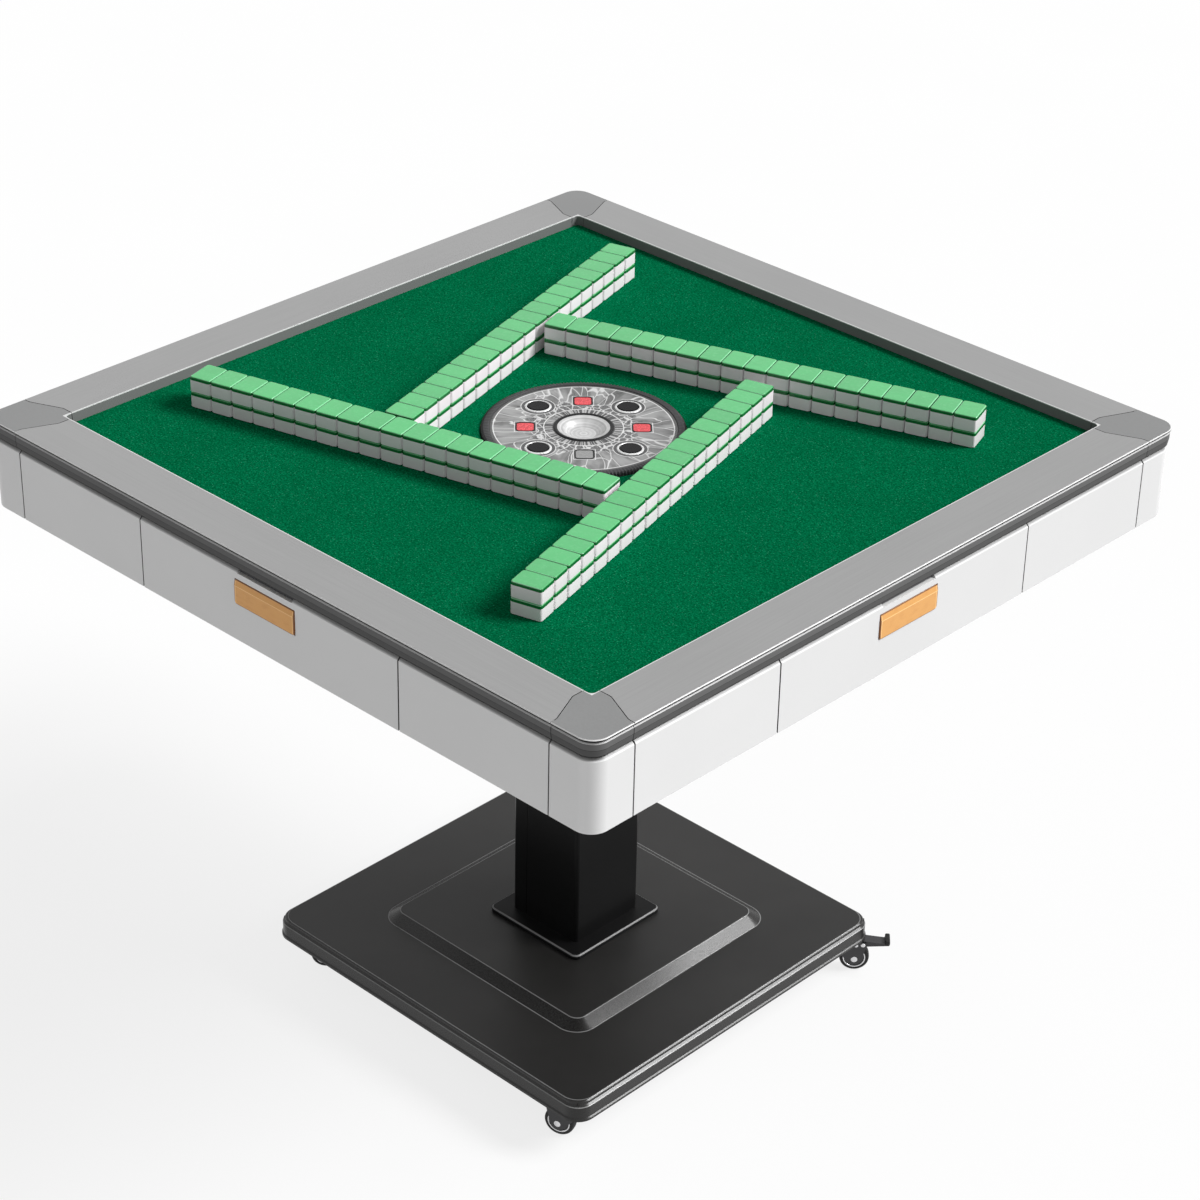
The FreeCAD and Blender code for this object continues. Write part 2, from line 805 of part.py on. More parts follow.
def control_disc():
    """The rising centre disc: ribbed ring, plate, dice bowl, lamp windows, buttons and lift post."""
    ring_bottom = "(disc_top - ring_height)"
    ribbed_ring(size("disc_radius"), size("disc_radius - ring_width"), size(ring_bottom), size("disc_top"))
    plate = new_body("disc_plate_blank")
    edge = "disc_radius - ring_width - plate_inset"
    skirt_edge = "disc_radius - plate_flange_inset"
    low = f"{ring_bottom} - plate_flange"
    top = "disc_top - plate_drop"
    revolve(plate, [
        ("0", low),
        (skirt_edge, low),
        (skirt_edge, ring_bottom),
        (edge, ring_bottom),
        (edge, top),
        ("0", top),
    ])
    well = sketch_on(plate, "XY_Plane", f"{top} - bowl_depth - bowl_wall")
    pocket(plate, circle(well, "bowl_radius + bowl_wall + lamp_gap"), "bowl_depth + bowl_wall")
    bores = sketch_on(plate, "XY_Plane", f"{top} + button_rise - button_height - button_travel - slide_gap")
    for x, y in button_places():
        circle(bores, "button_radius + button_gap", x, y)
    pocket(plate, bores, "button_height + button_travel + slide_gap")
    lamp_low = f"{top} - lamp_thick"
    seats = prism_set("lamp_side / 2 + lamp_gap", "lamp_corner + lamp_gap", lamp_low, f"{top} + overrun")
    node(cut("disc_plate", plate, feature("lamp_seats", seats)), "disc_plate")
    lamps = prism_set("lamp_side / 2", "lamp_corner", lamp_low, top)
    node(feature("seat_lamps", lamps), "seat_lamps")
    bowl = new_body("dice_bowl")
    rim_top = f"{top} + bowl_rim_height"
    revolve(bowl, [
        ("0", f"{top} - bowl_depth - bowl_wall"),
        ("bowl_floor + bowl_wall", f"{top} - bowl_depth - bowl_wall"),
        ("bowl_radius + bowl_wall", f"{top} - bowl_depth / 2"),
        ("bowl_radius + bowl_wall", top),
        ("bowl_radius + bowl_rim", top),
        ("bowl_radius + bowl_rim", f"{top} + bowl_rim_height / 2"),
        ("bowl_radius + bowl_rim / 2", rim_top),
        ("bowl_radius", rim_top),
        ("bowl_floor", f"{top} - bowl_depth"),
        ("0", f"{top} - bowl_depth"),
    ])
    node(bowl, "dice_bowl")
    for side, (x, y) in zip(SIDES, button_places()):
        button = new_body(f"button_{side}")
        head = f"{top} + button_rise"
        revolve(button, [
            ("0", f"{head} - button_height"),
            ("button_radius", f"{head} - button_height"),
            ("button_radius", f"{head} - button_crown"),
            ("button_radius - button_crown", head),
            ("0", head),
        ])
        node(place(button, x, y), f"button_{side}")
    node(cylinder("lift_post", "post_radius", f"{low} - pan_top", z="pan_top"), "lift_post")


def button_places():
    """The four button centres, in the order of the sides."""
    reach = "button_circle"
    return [("0", f"-{reach}"), (reach, "0"), ("0", reach), (f"-{reach}", "0")]


def prism_set(half_side, corner, low, high):
    """Four rounded square prisms on the lamp circle, each turned to face the middle."""
    half = size(half_side)
    shapes = []
    for index in range(len(CORNERS)):
        shape = prism(square_points(half, half), [size(corner)] * 4, size(low), size(high))
        shape.translate(FreeCAD.Vector(0, -size("lamp_circle"), 0))
        shape.rotate(FreeCAD.Vector(), FreeCAD.Vector(0, 0, 1), QUARTER / 2 + corner_turn(index))
        shapes.append(shape)
    return Part.Compound(shapes)


def ribbed_ring(radius, inner, low, high):
    """The disc's outer ring, whose side carries upright ribs like a coin's edge."""
    root = radius - size("rib_depth")
    step = 2 * math.pi / RIB_COUNT
    points = []
    for index in range(RIB_COUNT):
        for level, share in zip((root, radius, radius, root), RIB_SHARES):
            angle = (index + share) * step
            points.append(FreeCAD.Vector(level * math.cos(angle), level * math.sin(angle), low))
    bore = Part.Wire(Part.makeCircle(inner, FreeCAD.Vector(0, 0, low)))
    face = Part.Face([Part.makePolygon(points + points[:1]), bore])
    face.validate()
    node(feature("disc_ring", face.extrude(FreeCAD.Vector(0, 0, high - low))), "disc_ring")


def lift_guide():
    """The tube on the pan that the lift post slides in and the drum turns round."""
    guide = new_body("lift_guide")
    bore = "post_radius + run_clearance"
    tube = "post_radius + guide_wall"
    head = "deck_bottom - guide_head"
    revolve(guide, [
        (bore, "pan_top"),
        ("guide_foot", "pan_top"),
        ("guide_foot", "pan_top + guide_foot_thick"),
        (tube, "pan_top + guide_foot_thick"),
        (tube, head),
        (bore, head),
    ])
    node(guide, "lift_guide")


def gear_prism(teeth, low, high):
    """A solid gear with straight-sided teeth round the Z axis, the first tooth on +X."""
    module = size("gear_module")
    pitch_radius = module * teeth / 2
    tip = pitch_radius + TOOTH_REACH_SHARE * module
    root = pitch_radius - TOOTH_DEPTH_SHARE * module
    step = 2 * math.pi / teeth
    slack = size("gear_backlash") / pitch_radius
    root_angle = TOOTH_ROOT_SHARE * step / 2 - slack / 2
    tip_angle = TOOTH_TIP_SHARE * step / 2 - slack / 2
    points = []
    for index in range(teeth):
        middle = index * step
        for radius, angle in ((root, -root_angle), (tip, -tip_angle), (tip, tip_angle), (root, root_angle)):
            spot = middle + angle
            points.append(FreeCAD.Vector(radius * math.cos(spot), radius * math.sin(spot), low))
    return Part.Face(Part.makePolygon(points + points[:1])).extrude(FreeCAD.Vector(0, 0, high - low))


def pinion_place():
    """Where the pinion's axis stands, on the diagonal toward the back right corner."""
    distance = size("gear_module") * (DRUM_TEETH + PINION_TEETH) / 2
    return distance * math.cos(math.pi / 4), distance * math.sin(math.pi / 4)


def pinion_turn():
    """The turn, in degrees, that sets a gap of the pinion on the drum's tooth nearest to it."""
    pitches = DRUM_TEETH * (QUARTER / 2) / FULL_TURN
    half_pitch = FULL_TURN / PINION_TEETH / 2
    return QUARTER / 2 + FULL_TURN / 2 + pitches * 2 * half_pitch - half_pitch


def shuffle_drum():
    """The drum under the disc, with sweeping fins inside and a toothed ring round it, and its drive."""
    drum = new_body("drum_bowl")
    outer = f"gear_module * {DRUM_TEETH} / 2 - gear_module * {TOOTH_DEPTH_SHARE}"
    bore = "post_radius + guide_wall + run_clearance"
    low = "(pan_top + guide_foot_thick)"
    floor = f"({low} + drum_rise)"
    revolve(drum, [
        (bore, low),
        (f"{bore} + drum_hub", low),
        (f"{bore} + drum_hub", floor),
        (f"{outer} - drum_wall", floor),
        (outer, floor),
        (outer, f"{floor} + drum_rim"),
        (f"{outer} - drum_wall", f"{floor} + drum_rim"),
        (f"{outer} - drum_wall", f"{floor} + drum_floor"),
        (f"{bore} + drum_hub", f"{floor} + drum_floor"),
        (f"{bore} + drum_hub", f"{low} + drum_hub_height"),
        (bore, f"{low} + drum_hub_height"),
    ])
    start = f"({outer} - drum_wall - fin_length / 2)"
    fins = []
    for index in range(FIN_COUNT):
        fin = box("drum_fin", "fin_length", "fin_thick", "fin_height", start, "0", f"{floor} + drum_floor")
        group = DOC.addObject("Part::Compound", "drum_fin_turned")
        group.Links = [fin]
        fins.append(turned(group, index * FULL_TURN / FIN_COUNT))
    ring = gear_prism(DRUM_TEETH, size(floor), size(f"{floor} + gear_height"))
    core_low = FreeCAD.Vector(0, 0, size(f"{floor} - overrun"))
    core = Part.makeCylinder(size(f"{outer} - drum_wall"), size("gear_height + 2 * overrun"), core_low)
    teeth = feature("drum_teeth", ring.cut(core))
    node(fuse("shuffle_drum", [drum, teeth] + fins), "shuffle_drum")

    x, y = pinion_place()
    pinion_low = size(floor) - size("pinion_height - gear_height") / 2
    pinion = gear_prism(PINION_TEETH, pinion_low, pinion_low + size("pinion_height"))
    pinion.rotate(FreeCAD.Vector(), FreeCAD.Vector(0, 0, 1), pinion_turn())
    bore_low = FreeCAD.Vector(0, 0, pinion_low - size("overrun"))
    bore_radius = size("shaft_radius + run_clearance")
    pinion = pinion.cut(Part.makeCylinder(bore_radius, size("pinion_height + 2 * overrun"), bore_low))
    pinion.translate(FreeCAD.Vector(x, y, 0))
    node(feature("drum_pinion", pinion), "drum_pinion")

    side = size("gearbox_side") / 2
    top = pinion_low - size("slide_gap")
    housing = prism(square_points(side, side), [size("gearbox_corner")] * 4, size("pan_top"), top)
    shaft_low = top - size("overrun")
    shaft_length = pinion_low + size("pinion_height + overrun") - shaft_low
    shaft = Part.makeCylinder(size("shaft_radius"), shaft_length, FreeCAD.Vector(0, 0, shaft_low))
    motor = housing.fuse(shaft).removeSplitter()
    motor.translate(FreeCAD.Vector(x, y, 0))
    node(feature("drum_motor", motor), "drum_motor")


def inlet_place():
    """The mains inlet's centre, between the control box and the pan's back edge."""
    return "-(pan_half - box_inset)", "(pan_half - inlet_inset)"


def electrics():
    """The control box on the pan, and the mains inlet let into the pan beside it."""
    x, y = "-(pan_half - box_inset)", "(pan_half - box_inset)"
    case = box("control_case", "box_length", "box_width", "box_height - box_lid", x, y, "pan_top")
    lid_length, lid_width = "box_length + 2 * box_lid_rim", "box_width + 2 * box_lid_rim"
    lid = box("control_lid", lid_length, lid_width, "box_lid", x, y, "pan_top + box_height - box_lid")
    node(fuse("control_box", [case, lid]), "control_box")
    inlet = new_body("mains_inlet")
    x, y = inlet_place()
    mouth = "pan_bottom - inlet_flange"
    flange = sketch_on(inlet, "XY_Plane", mouth)
    pad(inlet, rectangle(flange, "inlet_length", "inlet_width", x, y), "inlet_flange")
    length = "(inlet_length - 2 * inlet_rim - 2 * slide_gap)"
    width = "(inlet_width - 2 * inlet_rim - 2 * slide_gap)"
    pad(inlet, rectangle(sketch_on(inlet, "XY_Plane", "pan_bottom"), length, width, x, y), "inlet_body")
    recess = sketch_on(inlet, "XY_Plane", mouth)
    rectangle(recess, f"{length} - 2 * inlet_wall", f"{width} - 2 * inlet_wall", x, y)
    pocket(inlet, recess, "inlet_recess")
    pins = sketch_on(inlet, "XY_Plane", f"{mouth} + inlet_recess - inlet_pin_height")
    for sign in (-1, 0, 1):
        rectangle(pins, "inlet_pin", "inlet_pin_depth", f"{x} + {sign} * inlet_pin_pitch", y)
    pad(inlet, pins, "inlet_pin_height + inlet_wall")
    node(inlet, "mains_inlet")


def column():
    """The square column, welded to its foot flange and head plate."""
    foot_low = "(base_top + step_height)"
    tube_low = f"({foot_low} + foot_thick)"
    head_low = "(pan_bottom - head_thick)"
    post = new_body("column_tube")
    height = f"{head_low} - {tube_low}"
    outside = "column_side"
    pad(post, rectangle(sketch_on(post, "XY_Plane", tube_low), outside, outside), height)
    round_edges(post, "column_corner", upright)
    inside = "column_side - 2 * column_wall"
    pocket(post, rectangle(sketch_on(post, "XY_Plane", tube_low), inside, inside), height)
    seam = sketch_on(post, "XY_Plane", tube_low)
    seam_x = "column_seam_place - column_side / 2"
    rectangle(seam, "column_seam", "2 * column_seam_depth", seam_x, "-column_side / 2")
    pocket(post, seam, height)
    half, top_half = size("foot_side / 2"), size("foot_side / 2 - foot_bevel")
    low = size(foot_low)
    bevel_low = size(f"{tube_low} - foot_bevel")
    foot_corner = size("foot_corner")
    foot = prism(square_points(half, half), [foot_corner] * 4, low, bevel_low)
    slope = Part.makeLoft([
        level_wire(half, foot_corner, bevel_low),
        level_wire(top_half, foot_corner - size("foot_bevel"), size(tube_low)),
    ], True, True)
    flange = feature("column_foot", foot.fuse(slope).removeSplitter())
    head = box("column_head", "head_side", "head_side", "head_thick", z=head_low)
    node(fuse("column", [post, flange, head]), "column")


def level_wire(half, corner, level):
    """A rounded square outline at a level."""
    wire = rounded_wire(square_points(half, half), [corner] * 4)
    wire.translate(FreeCAD.Vector(0, 0, level))
    return wire


def base_plate():
    """The pressed base: hem, band, stepped edge, plate and raised step, hollow underneath,
    with a bored boss over each caster."""
    half, corner = size("base_side / 2"), size("base_corner")
    floor, top = size("base_floor"), size("base_top")
    hem_in = size("base_hem")
    band_in = hem_in + size("base_step_in")
    plate_in = band_in + size("base_plate_in")
    levels = [
        (half, floor),
        (half, floor + size("base_hem_height")),
        (half - hem_in, floor + size("base_hem_height") + hem_in),
        (half - hem_in, floor + size("base_band")),
        (half - band_in, floor + size("base_band") + size("base_step_rise")),
        (half - band_in, top - size("base_plate_in")),
        (half - plate_in, top),
    ]
    wires = [level_wire(reach, corner - (half - reach), level) for reach, level in levels]
    shell = Part.makeLoft(wires, True, True)
    low_half, high_half = size("step_side / 2"), size("step_top_side / 2")
    step_corner = size("step_corner")
    step = Part.makeLoft([
        level_wire(low_half, step_corner, top - size("base_wall")),
        level_wire(low_half, step_corner, top),
        level_wire(high_half, step_corner - (low_half - high_half), size("base_top + step_height")),
    ], True, True)
    wall = size("base_wall")
    room = half - plate_in - wall
    hollow = prism(square_points(room, room), [corner - plate_in] * 4, floor - size("overrun"), top - wall)
    inner_corner = step_corner - wall - (low_half - high_half)
    step_room = Part.makeLoft([
        level_wire(low_half - wall, step_corner - wall, top - wall - size("overrun")),
        level_wire(low_half - wall, step_corner - wall, top - wall),
        level_wire(high_half - wall, inner_corner, size("base_top + step_height") - wall),
    ], True, True)
    solid = shell.cut(hollow).fuse(step).cut(step_room).removeSplitter()
    pressed = feature("pressed_plate", solid)
    spot = "(base_side / 2 - caster_inset)"
    boss_low = "(base_top - base_wall - boss_drop)"
    bosses, bores = [], []
    for a in "-+":
        for b in "-+":
            x, y = f"0 {a} {spot}", f"0 {b} {spot}"
            boss_height = "boss_drop + base_wall / 2"
            bosses.append(box("caster_boss", "boss_side", "boss_side", boss_height, x, y, boss_low))
            bores.append(cylinder("caster_bore", "stem_radius + run_clearance", "boss_drop", x, y, boss_low))
    node(cut("base_plate", fuse("base_solid", [pressed] + bosses), fuse("caster_bores", bores)), "base_plate")


def casters():
    """Four swivel casters; two of them carry a brake lever."""
    spot = "(base_side / 2 - caster_inset)"
    for corner in CORNERS:
        a = "+" if "right" in corner else "-"
        b = "+" if "back" in corner else "-"
        x, y = f"0 {a} {spot}", f"0 {b} {spot}"
        turn = size(f"turn_{corner}")
        node(place(caster_fork(corner), x, y, turn=turn), f"caster_fork_{corner}")
        node(place(caster_wheel(corner), x, y, turn=turn), f"caster_wheel_{corner}")
        if corner in BRAKED:
            node(place(brake_lever(corner), x, y, turn=turn), f"brake_lever_{corner}")


def cheek_offset():
    """The formula for the middle of a fork cheek, out from the wheel's middle plane."""
    return "(wheel_width / 2 + cheek_gap + cheek_thick / 2)"


def caster_fork(corner):
    """A fork with its stem, crown, two cheeks and axle; the wheel trails along local +X."""
    crown_low = "(base_top - base_wall - boss_drop - slide_gap - crown_height)"
    crown = cylinder("fork_crown", "crown_radius", "crown_height", z=crown_low)
    stem = cylinder("fork_stem", "stem_radius", "stem_height", z=f"{crown_low} + crown_height")
    cheek_outline = [
        ("-cheek_reach", crown_low),
        ("caster_trail - cheek_radius", "wheel_level - cheek_radius / 2"),
        ("caster_trail - cheek_radius / 2", "wheel_level - cheek_radius"),
        ("caster_trail + cheek_radius / 2", "wheel_level - cheek_radius"),
        ("caster_trail + cheek_radius", "wheel_level - cheek_radius / 2"),
        ("lever_pivot_reach + lever_eye", "lever_pivot_height - lever_eye"),
        ("lever_pivot_reach + lever_eye", "lever_pivot_height + lever_eye / 2"),
        ("cheek_reach", f"{crown_low} + crown_height / 2"),
        ("-cheek_reach", f"{crown_low} + crown_height / 2"),
    ]
    cheeks = []
    for sign in "-+":
        cheek = new_body("fork_cheek")
        profile = draw(sketch_on(cheek, "XZ_Plane", f"0 {sign} {cheek_offset()}"), cheek_outline)
        pad(cheek, profile, "cheek_thick", True)
        cheeks.append(cheek)
    span = f"2 * {cheek_offset()} + cheek_thick"
    axle = cross_pin("fork_axle", "axle_radius", span, "caster_trail", "wheel_level")
    parts = [crown, stem, axle] + cheeks
    if corner in BRAKED:
        pivot = ("lever_pivot_reach", "lever_pivot_height")
        parts.append(cross_pin("lever_pin", "lever_pin_radius", span, *pivot))
    return fuse(f"caster_fork_{corner}", parts)


def cross_pin(name, radius, length, x, z):
    """A round pin along local Y, centred on the caster's middle plane."""
    pin = new_body(name)
    pad(pin, circle(sketch_on(pin, "XZ_Plane"), radius, x, z), length, True)
    return pin


def caster_wheel(corner):
    """A wheel with a crowned tread and a recessed rim, bored for the axle."""
    wheel = new_body(f"caster_wheel_{corner}_form")
    bore = "axle_radius + run_clearance"
    half = "wheel_width / 2"
    right_side = [
        ("hub_radius", half),
        ("hub_radius", f"{half} - rim_recess"),
        ("rim_radius", f"{half} - rim_recess"),
        ("rim_radius", half),
        ("wheel_radius - tread_crown", half),
        ("wheel_radius", f"{half} - tread_crown"),
    ]
    other_side = [(radius, f"-({across})") for radius, across in reversed(right_side)]
    revolve(wheel, [(bore, f"-({half})"), (bore, half)] + right_side + other_side)
    wheel.Placement.Rotation = FreeCAD.Rotation(FreeCAD.Vector(1, 0, 0), QUARTER)
    bind(wheel, Placement__Base__x="caster_trail", Placement__Base__z="wheel_level")
    group = DOC.addObject("Part::Compound", f"caster_wheel_{corner}")
    group.Links = [wheel]
    return group


def brake_lever(corner):
    """A pressed brake lever on its pin between the fork's cheeks, with a raised toe tab."""
    lever = new_body(f"brake_lever_{corner}")
    eye = "lever_eye"
    z = "lever_pivot_height"
    x = "lever_pivot_reach"
    outline = [
        (f"{x} - {eye}", f"{z} - {eye} / 2"),
        (f"{x} - {eye} / 2", f"{z} - {eye}"),
        (f"{x} + {eye}", f"{z} - {eye}"),
        (f"{x} + lever_reach", f"{z} - lever_thick / 2"),
        (f"{x} + lever_reach", f"{z} + lever_tab"),
        (f"{x} + lever_reach - lever_thick", f"{z} + lever_tab"),
        (f"{x} + lever_reach - 2 * lever_thick", f"{z} + lever_thick / 2"),
        (f"{x} + {eye} / 2", f"{z} + {eye}"),
        (f"{x} - {eye} / 2", f"{z} + {eye}"),
        (f"{x} - {eye}", f"{z} + {eye} / 2"),
    ]
    sketch = draw(sketch_on(lever, "XZ_Plane"), outline)
    pad(lever, circle(sketch, "lever_pin_radius + run_clearance", x, z), "lever_width", True)
    return lever


def tile_walls():
    """Four double walls of tiles on the cloth. Each tile lies on its face, bevelled all round."""
    length, width, height = size("tile_length"), size("tile_width"), size("tile_height")
    tile = Part.makeBox(width, length, height)
    level_edges = [edge for edge in tile.Edges if not upright(edge)]
    tile = tile.makeChamfer(size("tile_bevel"), level_edges)
    tile.translate(FreeCAD.Vector(-width / 2, -length / 2, 0))
    for side in SIDES:
        tiles = []
        for row in range(ROWS):
            for index in range(TILES_PER_ROW):
                along = (index - (TILES_PER_ROW - 1) / 2) * width
                copy = tile.copy()
                copy.translate(FreeCAD.Vector(along, 0, row * height))
                tiles.append(copy)
        wall = feature(f"tile_wall_{side}", Part.Compound(tiles))
        turn = size(f"wall_{side}_turn")
        node(place(wall, f"wall_{side}_x", f"wall_{side}_y", "cloth_top", turn), f"tile_wall_{side}")


def check():
    """Stop if any object failed, or any piece has no valid solid."""
    for thing in DOC.Objects:
        if "Invalid" in thing.State or "Error" in thing.State:
            raise RuntimeError(f"{thing.Name} ({thing.Label}) failed: {thing.State}")
    for thing in NODES:
        if thing.Shape.isNull() or not thing.Shape.isValid() or not thing.Shape.Solids:
            raise RuntimeError(f"{thing.Label} has no valid solid")


def write():
    """Write each piece to its own file."""
    os.makedirs("parts", exist_ok=True)
    for thing in NODES:
        thing.Shape.exportStep(f"parts/{thing.Label}.step")


fill_sheet()
rails()
corner_caps()
playing_surface()
skirt()
drawers()
drawer_runners()
chassis()
control_disc()
lift_guide()
shuffle_drum()
electrics()
column()
base_plate()
casters()
tile_walls()
DOC.recompute()
check()
write()
print(len(NODES), "pieces")
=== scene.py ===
"""Looks of the four-sided mahjong table with drawers: finishes, fine pieces, light and camera."""

import logging
from dataclasses import dataclass, field
from enum import Enum

import bmesh
import bpy
import numpy as np
from mathutils import Matrix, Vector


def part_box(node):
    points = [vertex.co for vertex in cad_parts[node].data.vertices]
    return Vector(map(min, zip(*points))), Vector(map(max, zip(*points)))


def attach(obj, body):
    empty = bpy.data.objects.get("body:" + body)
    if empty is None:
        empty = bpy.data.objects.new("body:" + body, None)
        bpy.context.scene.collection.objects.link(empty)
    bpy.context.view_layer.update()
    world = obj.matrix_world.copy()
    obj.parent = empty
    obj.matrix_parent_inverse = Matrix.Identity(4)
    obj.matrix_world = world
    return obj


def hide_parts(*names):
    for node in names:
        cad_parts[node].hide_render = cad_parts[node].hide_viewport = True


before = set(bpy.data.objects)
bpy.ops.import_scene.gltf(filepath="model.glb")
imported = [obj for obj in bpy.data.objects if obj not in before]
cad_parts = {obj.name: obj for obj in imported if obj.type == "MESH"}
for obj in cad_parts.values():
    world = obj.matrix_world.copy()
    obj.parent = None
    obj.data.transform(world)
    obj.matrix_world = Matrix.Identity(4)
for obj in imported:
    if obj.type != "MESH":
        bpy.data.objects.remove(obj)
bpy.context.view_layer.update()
LOG = logging.getLogger("mahjong_table")
MM = 0.001
Colour = tuple[float, float, float]
Socket = bpy.types.NodeSocket

# Signs of x and y in the four quarters, in order round the middle
QUARTERS = np.array([(1, 1), (-1, 1), (-1, -1), (1, -1)], float)
# Each part of a step of length one on a diagonal
DIAGONAL = 0.70711
# The limits within which most of a noise lies
NOISE = (0.3, 0.7)


class Side(Enum):
    """The table's four sides, each by its quarter turns from the front."""

    FRONT = 0
    RIGHT = 1
    BACK = 2
    LEFT = 3

    @property
    def label(self) -> str:
        """The side's word in the names of the frame's nodes."""
        return self.name.lower()

    def turned(self, points: np.ndarray) -> np.ndarray:
        """Points made for the front, turned about the table's middle to this side."""
        return turned_about_z(points, self.value * np.pi / 2)


class Corner(Enum):
    """The base's four corners: signs of x and y, and the way the caster trails, in degrees."""

    FRONT_RIGHT = (1, -1, 200)
    BACK_RIGHT = (1, 1, 41)
    BACK_LEFT = (-1, 1, 315)
    FRONT_LEFT = (-1, -1, 45)

    @property
    def label(self) -> str:
        """The corner's words in the names of the frame's nodes."""
        return self.name.lower()

    @property
    def braked(self) -> bool:
        """Whether the corner's caster has a brake lever."""
        return self in (Corner.BACK_RIGHT, Corner.FRONT_LEFT)


class Grain(Enum):
    """The way in which a rail's brush marks run."""

    ALONG_X = (9.0, 650.0, 650.0)
    ALONG_Y = (650.0, 9.0, 650.0)
    NONE = (420.0, 420.0, 420.0)


# Surfaces

def turned_about_z(points: np.ndarray, angle: float | np.ndarray) -> np.ndarray:
    """Points turned about the upright axis: x' = x cos - y sin, y' = x sin + y cos.

    Args:
        points: coordinates in the last dimension.
        angle: the turn, in radians, or turns that spread over the points.

    Returns:
        The turned coordinates, in the shape of points and turns together.
    """
    x, y, z = np.moveaxis(points, -1, 0)
    cos, sin = np.cos(angle), np.sin(angle)
    return np.stack(np.broadcast_arrays(x * cos - y * sin, x * sin + y * cos, z), -1)


def rounded_outline(half_x: float, half_y: float, radius: float, arc: int, spacing: float = 0.0) -> np.ndarray:
    """A rectangle with round corners, as a closed line.

    Each corner is a quarter circle about its own centre, and straight lines join them. Where
    a spacing is given, the straight lines are divided by their length.

    Args:
        half_x: half the width.
        half_y: half the height.
        radius: the corners' radius.
        arc: steps in each corner.
        spacing: the longest step on a straight line, or zero to leave lines whole.

    Returns:
        Points in order round the line, (n, 2).
    """
    quarter = np.linspace(0, np.pi / 2, arc + 1)
    angle = quarter + np.arange(4)[:, None] * np.pi / 2
    centre = QUARTERS * (half_x - radius, half_y - radius)
    line = centre[:, None] + radius * np.stack([np.cos(angle), np.sin(angle)], -1)
    line = line.reshape(-1, 2)
    if not spacing:
        return line
    ring = np.vstack([line, line[:1]])
    run = np.concatenate([[0], np.cumsum(np.linalg.norm(np.diff(ring, axis=0), axis=1))])
    even = np.linspace(0, run[-1], int(run[-1] / spacing), endpoint=False)
    steps = np.union1d(even, run[:-1])
    return np.stack([np.interp(steps, run, ring[:, 0]), np.interp(steps, run, ring[:, 1])], -1)


def revolved(profile: np.ndarray, steps: int) -> np.ndarray:
    """A profile carried round the upright axis: (r, z) goes to (r cos t, r sin t, z).

    Args:
        profile: radius and height of each point, (m, 2).
        steps: points round the axis.

    Returns:
        The grid, (steps, m, 3).
    """
    t = np.linspace(0, 2 * np.pi, steps, endpoint=False)[:, None]
    radius, level = profile[:, 0], profile[:, 1]
    return np.stack([radius * np.cos(t), radius * np.sin(t), level + 0 * t], -1)


def levelled(outline: np.ndarray, level: float | np.ndarray) -> np.ndarray:
    """Flat places lifted to a level, or each to its own, as points in space."""
    return np.concatenate([outline, np.broadcast_to(level, outline.shape[:-1] + (1,))], -1)


def quarter_round(gap: np.ndarray, radius: float) -> np.ndarray:
    """How far a quarter round falls away at a gap from its rim: r less the root of r2 - (r - gap)2.

    Args:
        gap: distances in from the rim.
        radius: the round's radius.

    Returns:
        The drops, which are zero from one radius on.
    """
    return radius - np.sqrt(np.maximum(radius ** 2 - np.maximum(radius - gap, 0) ** 2, 0))


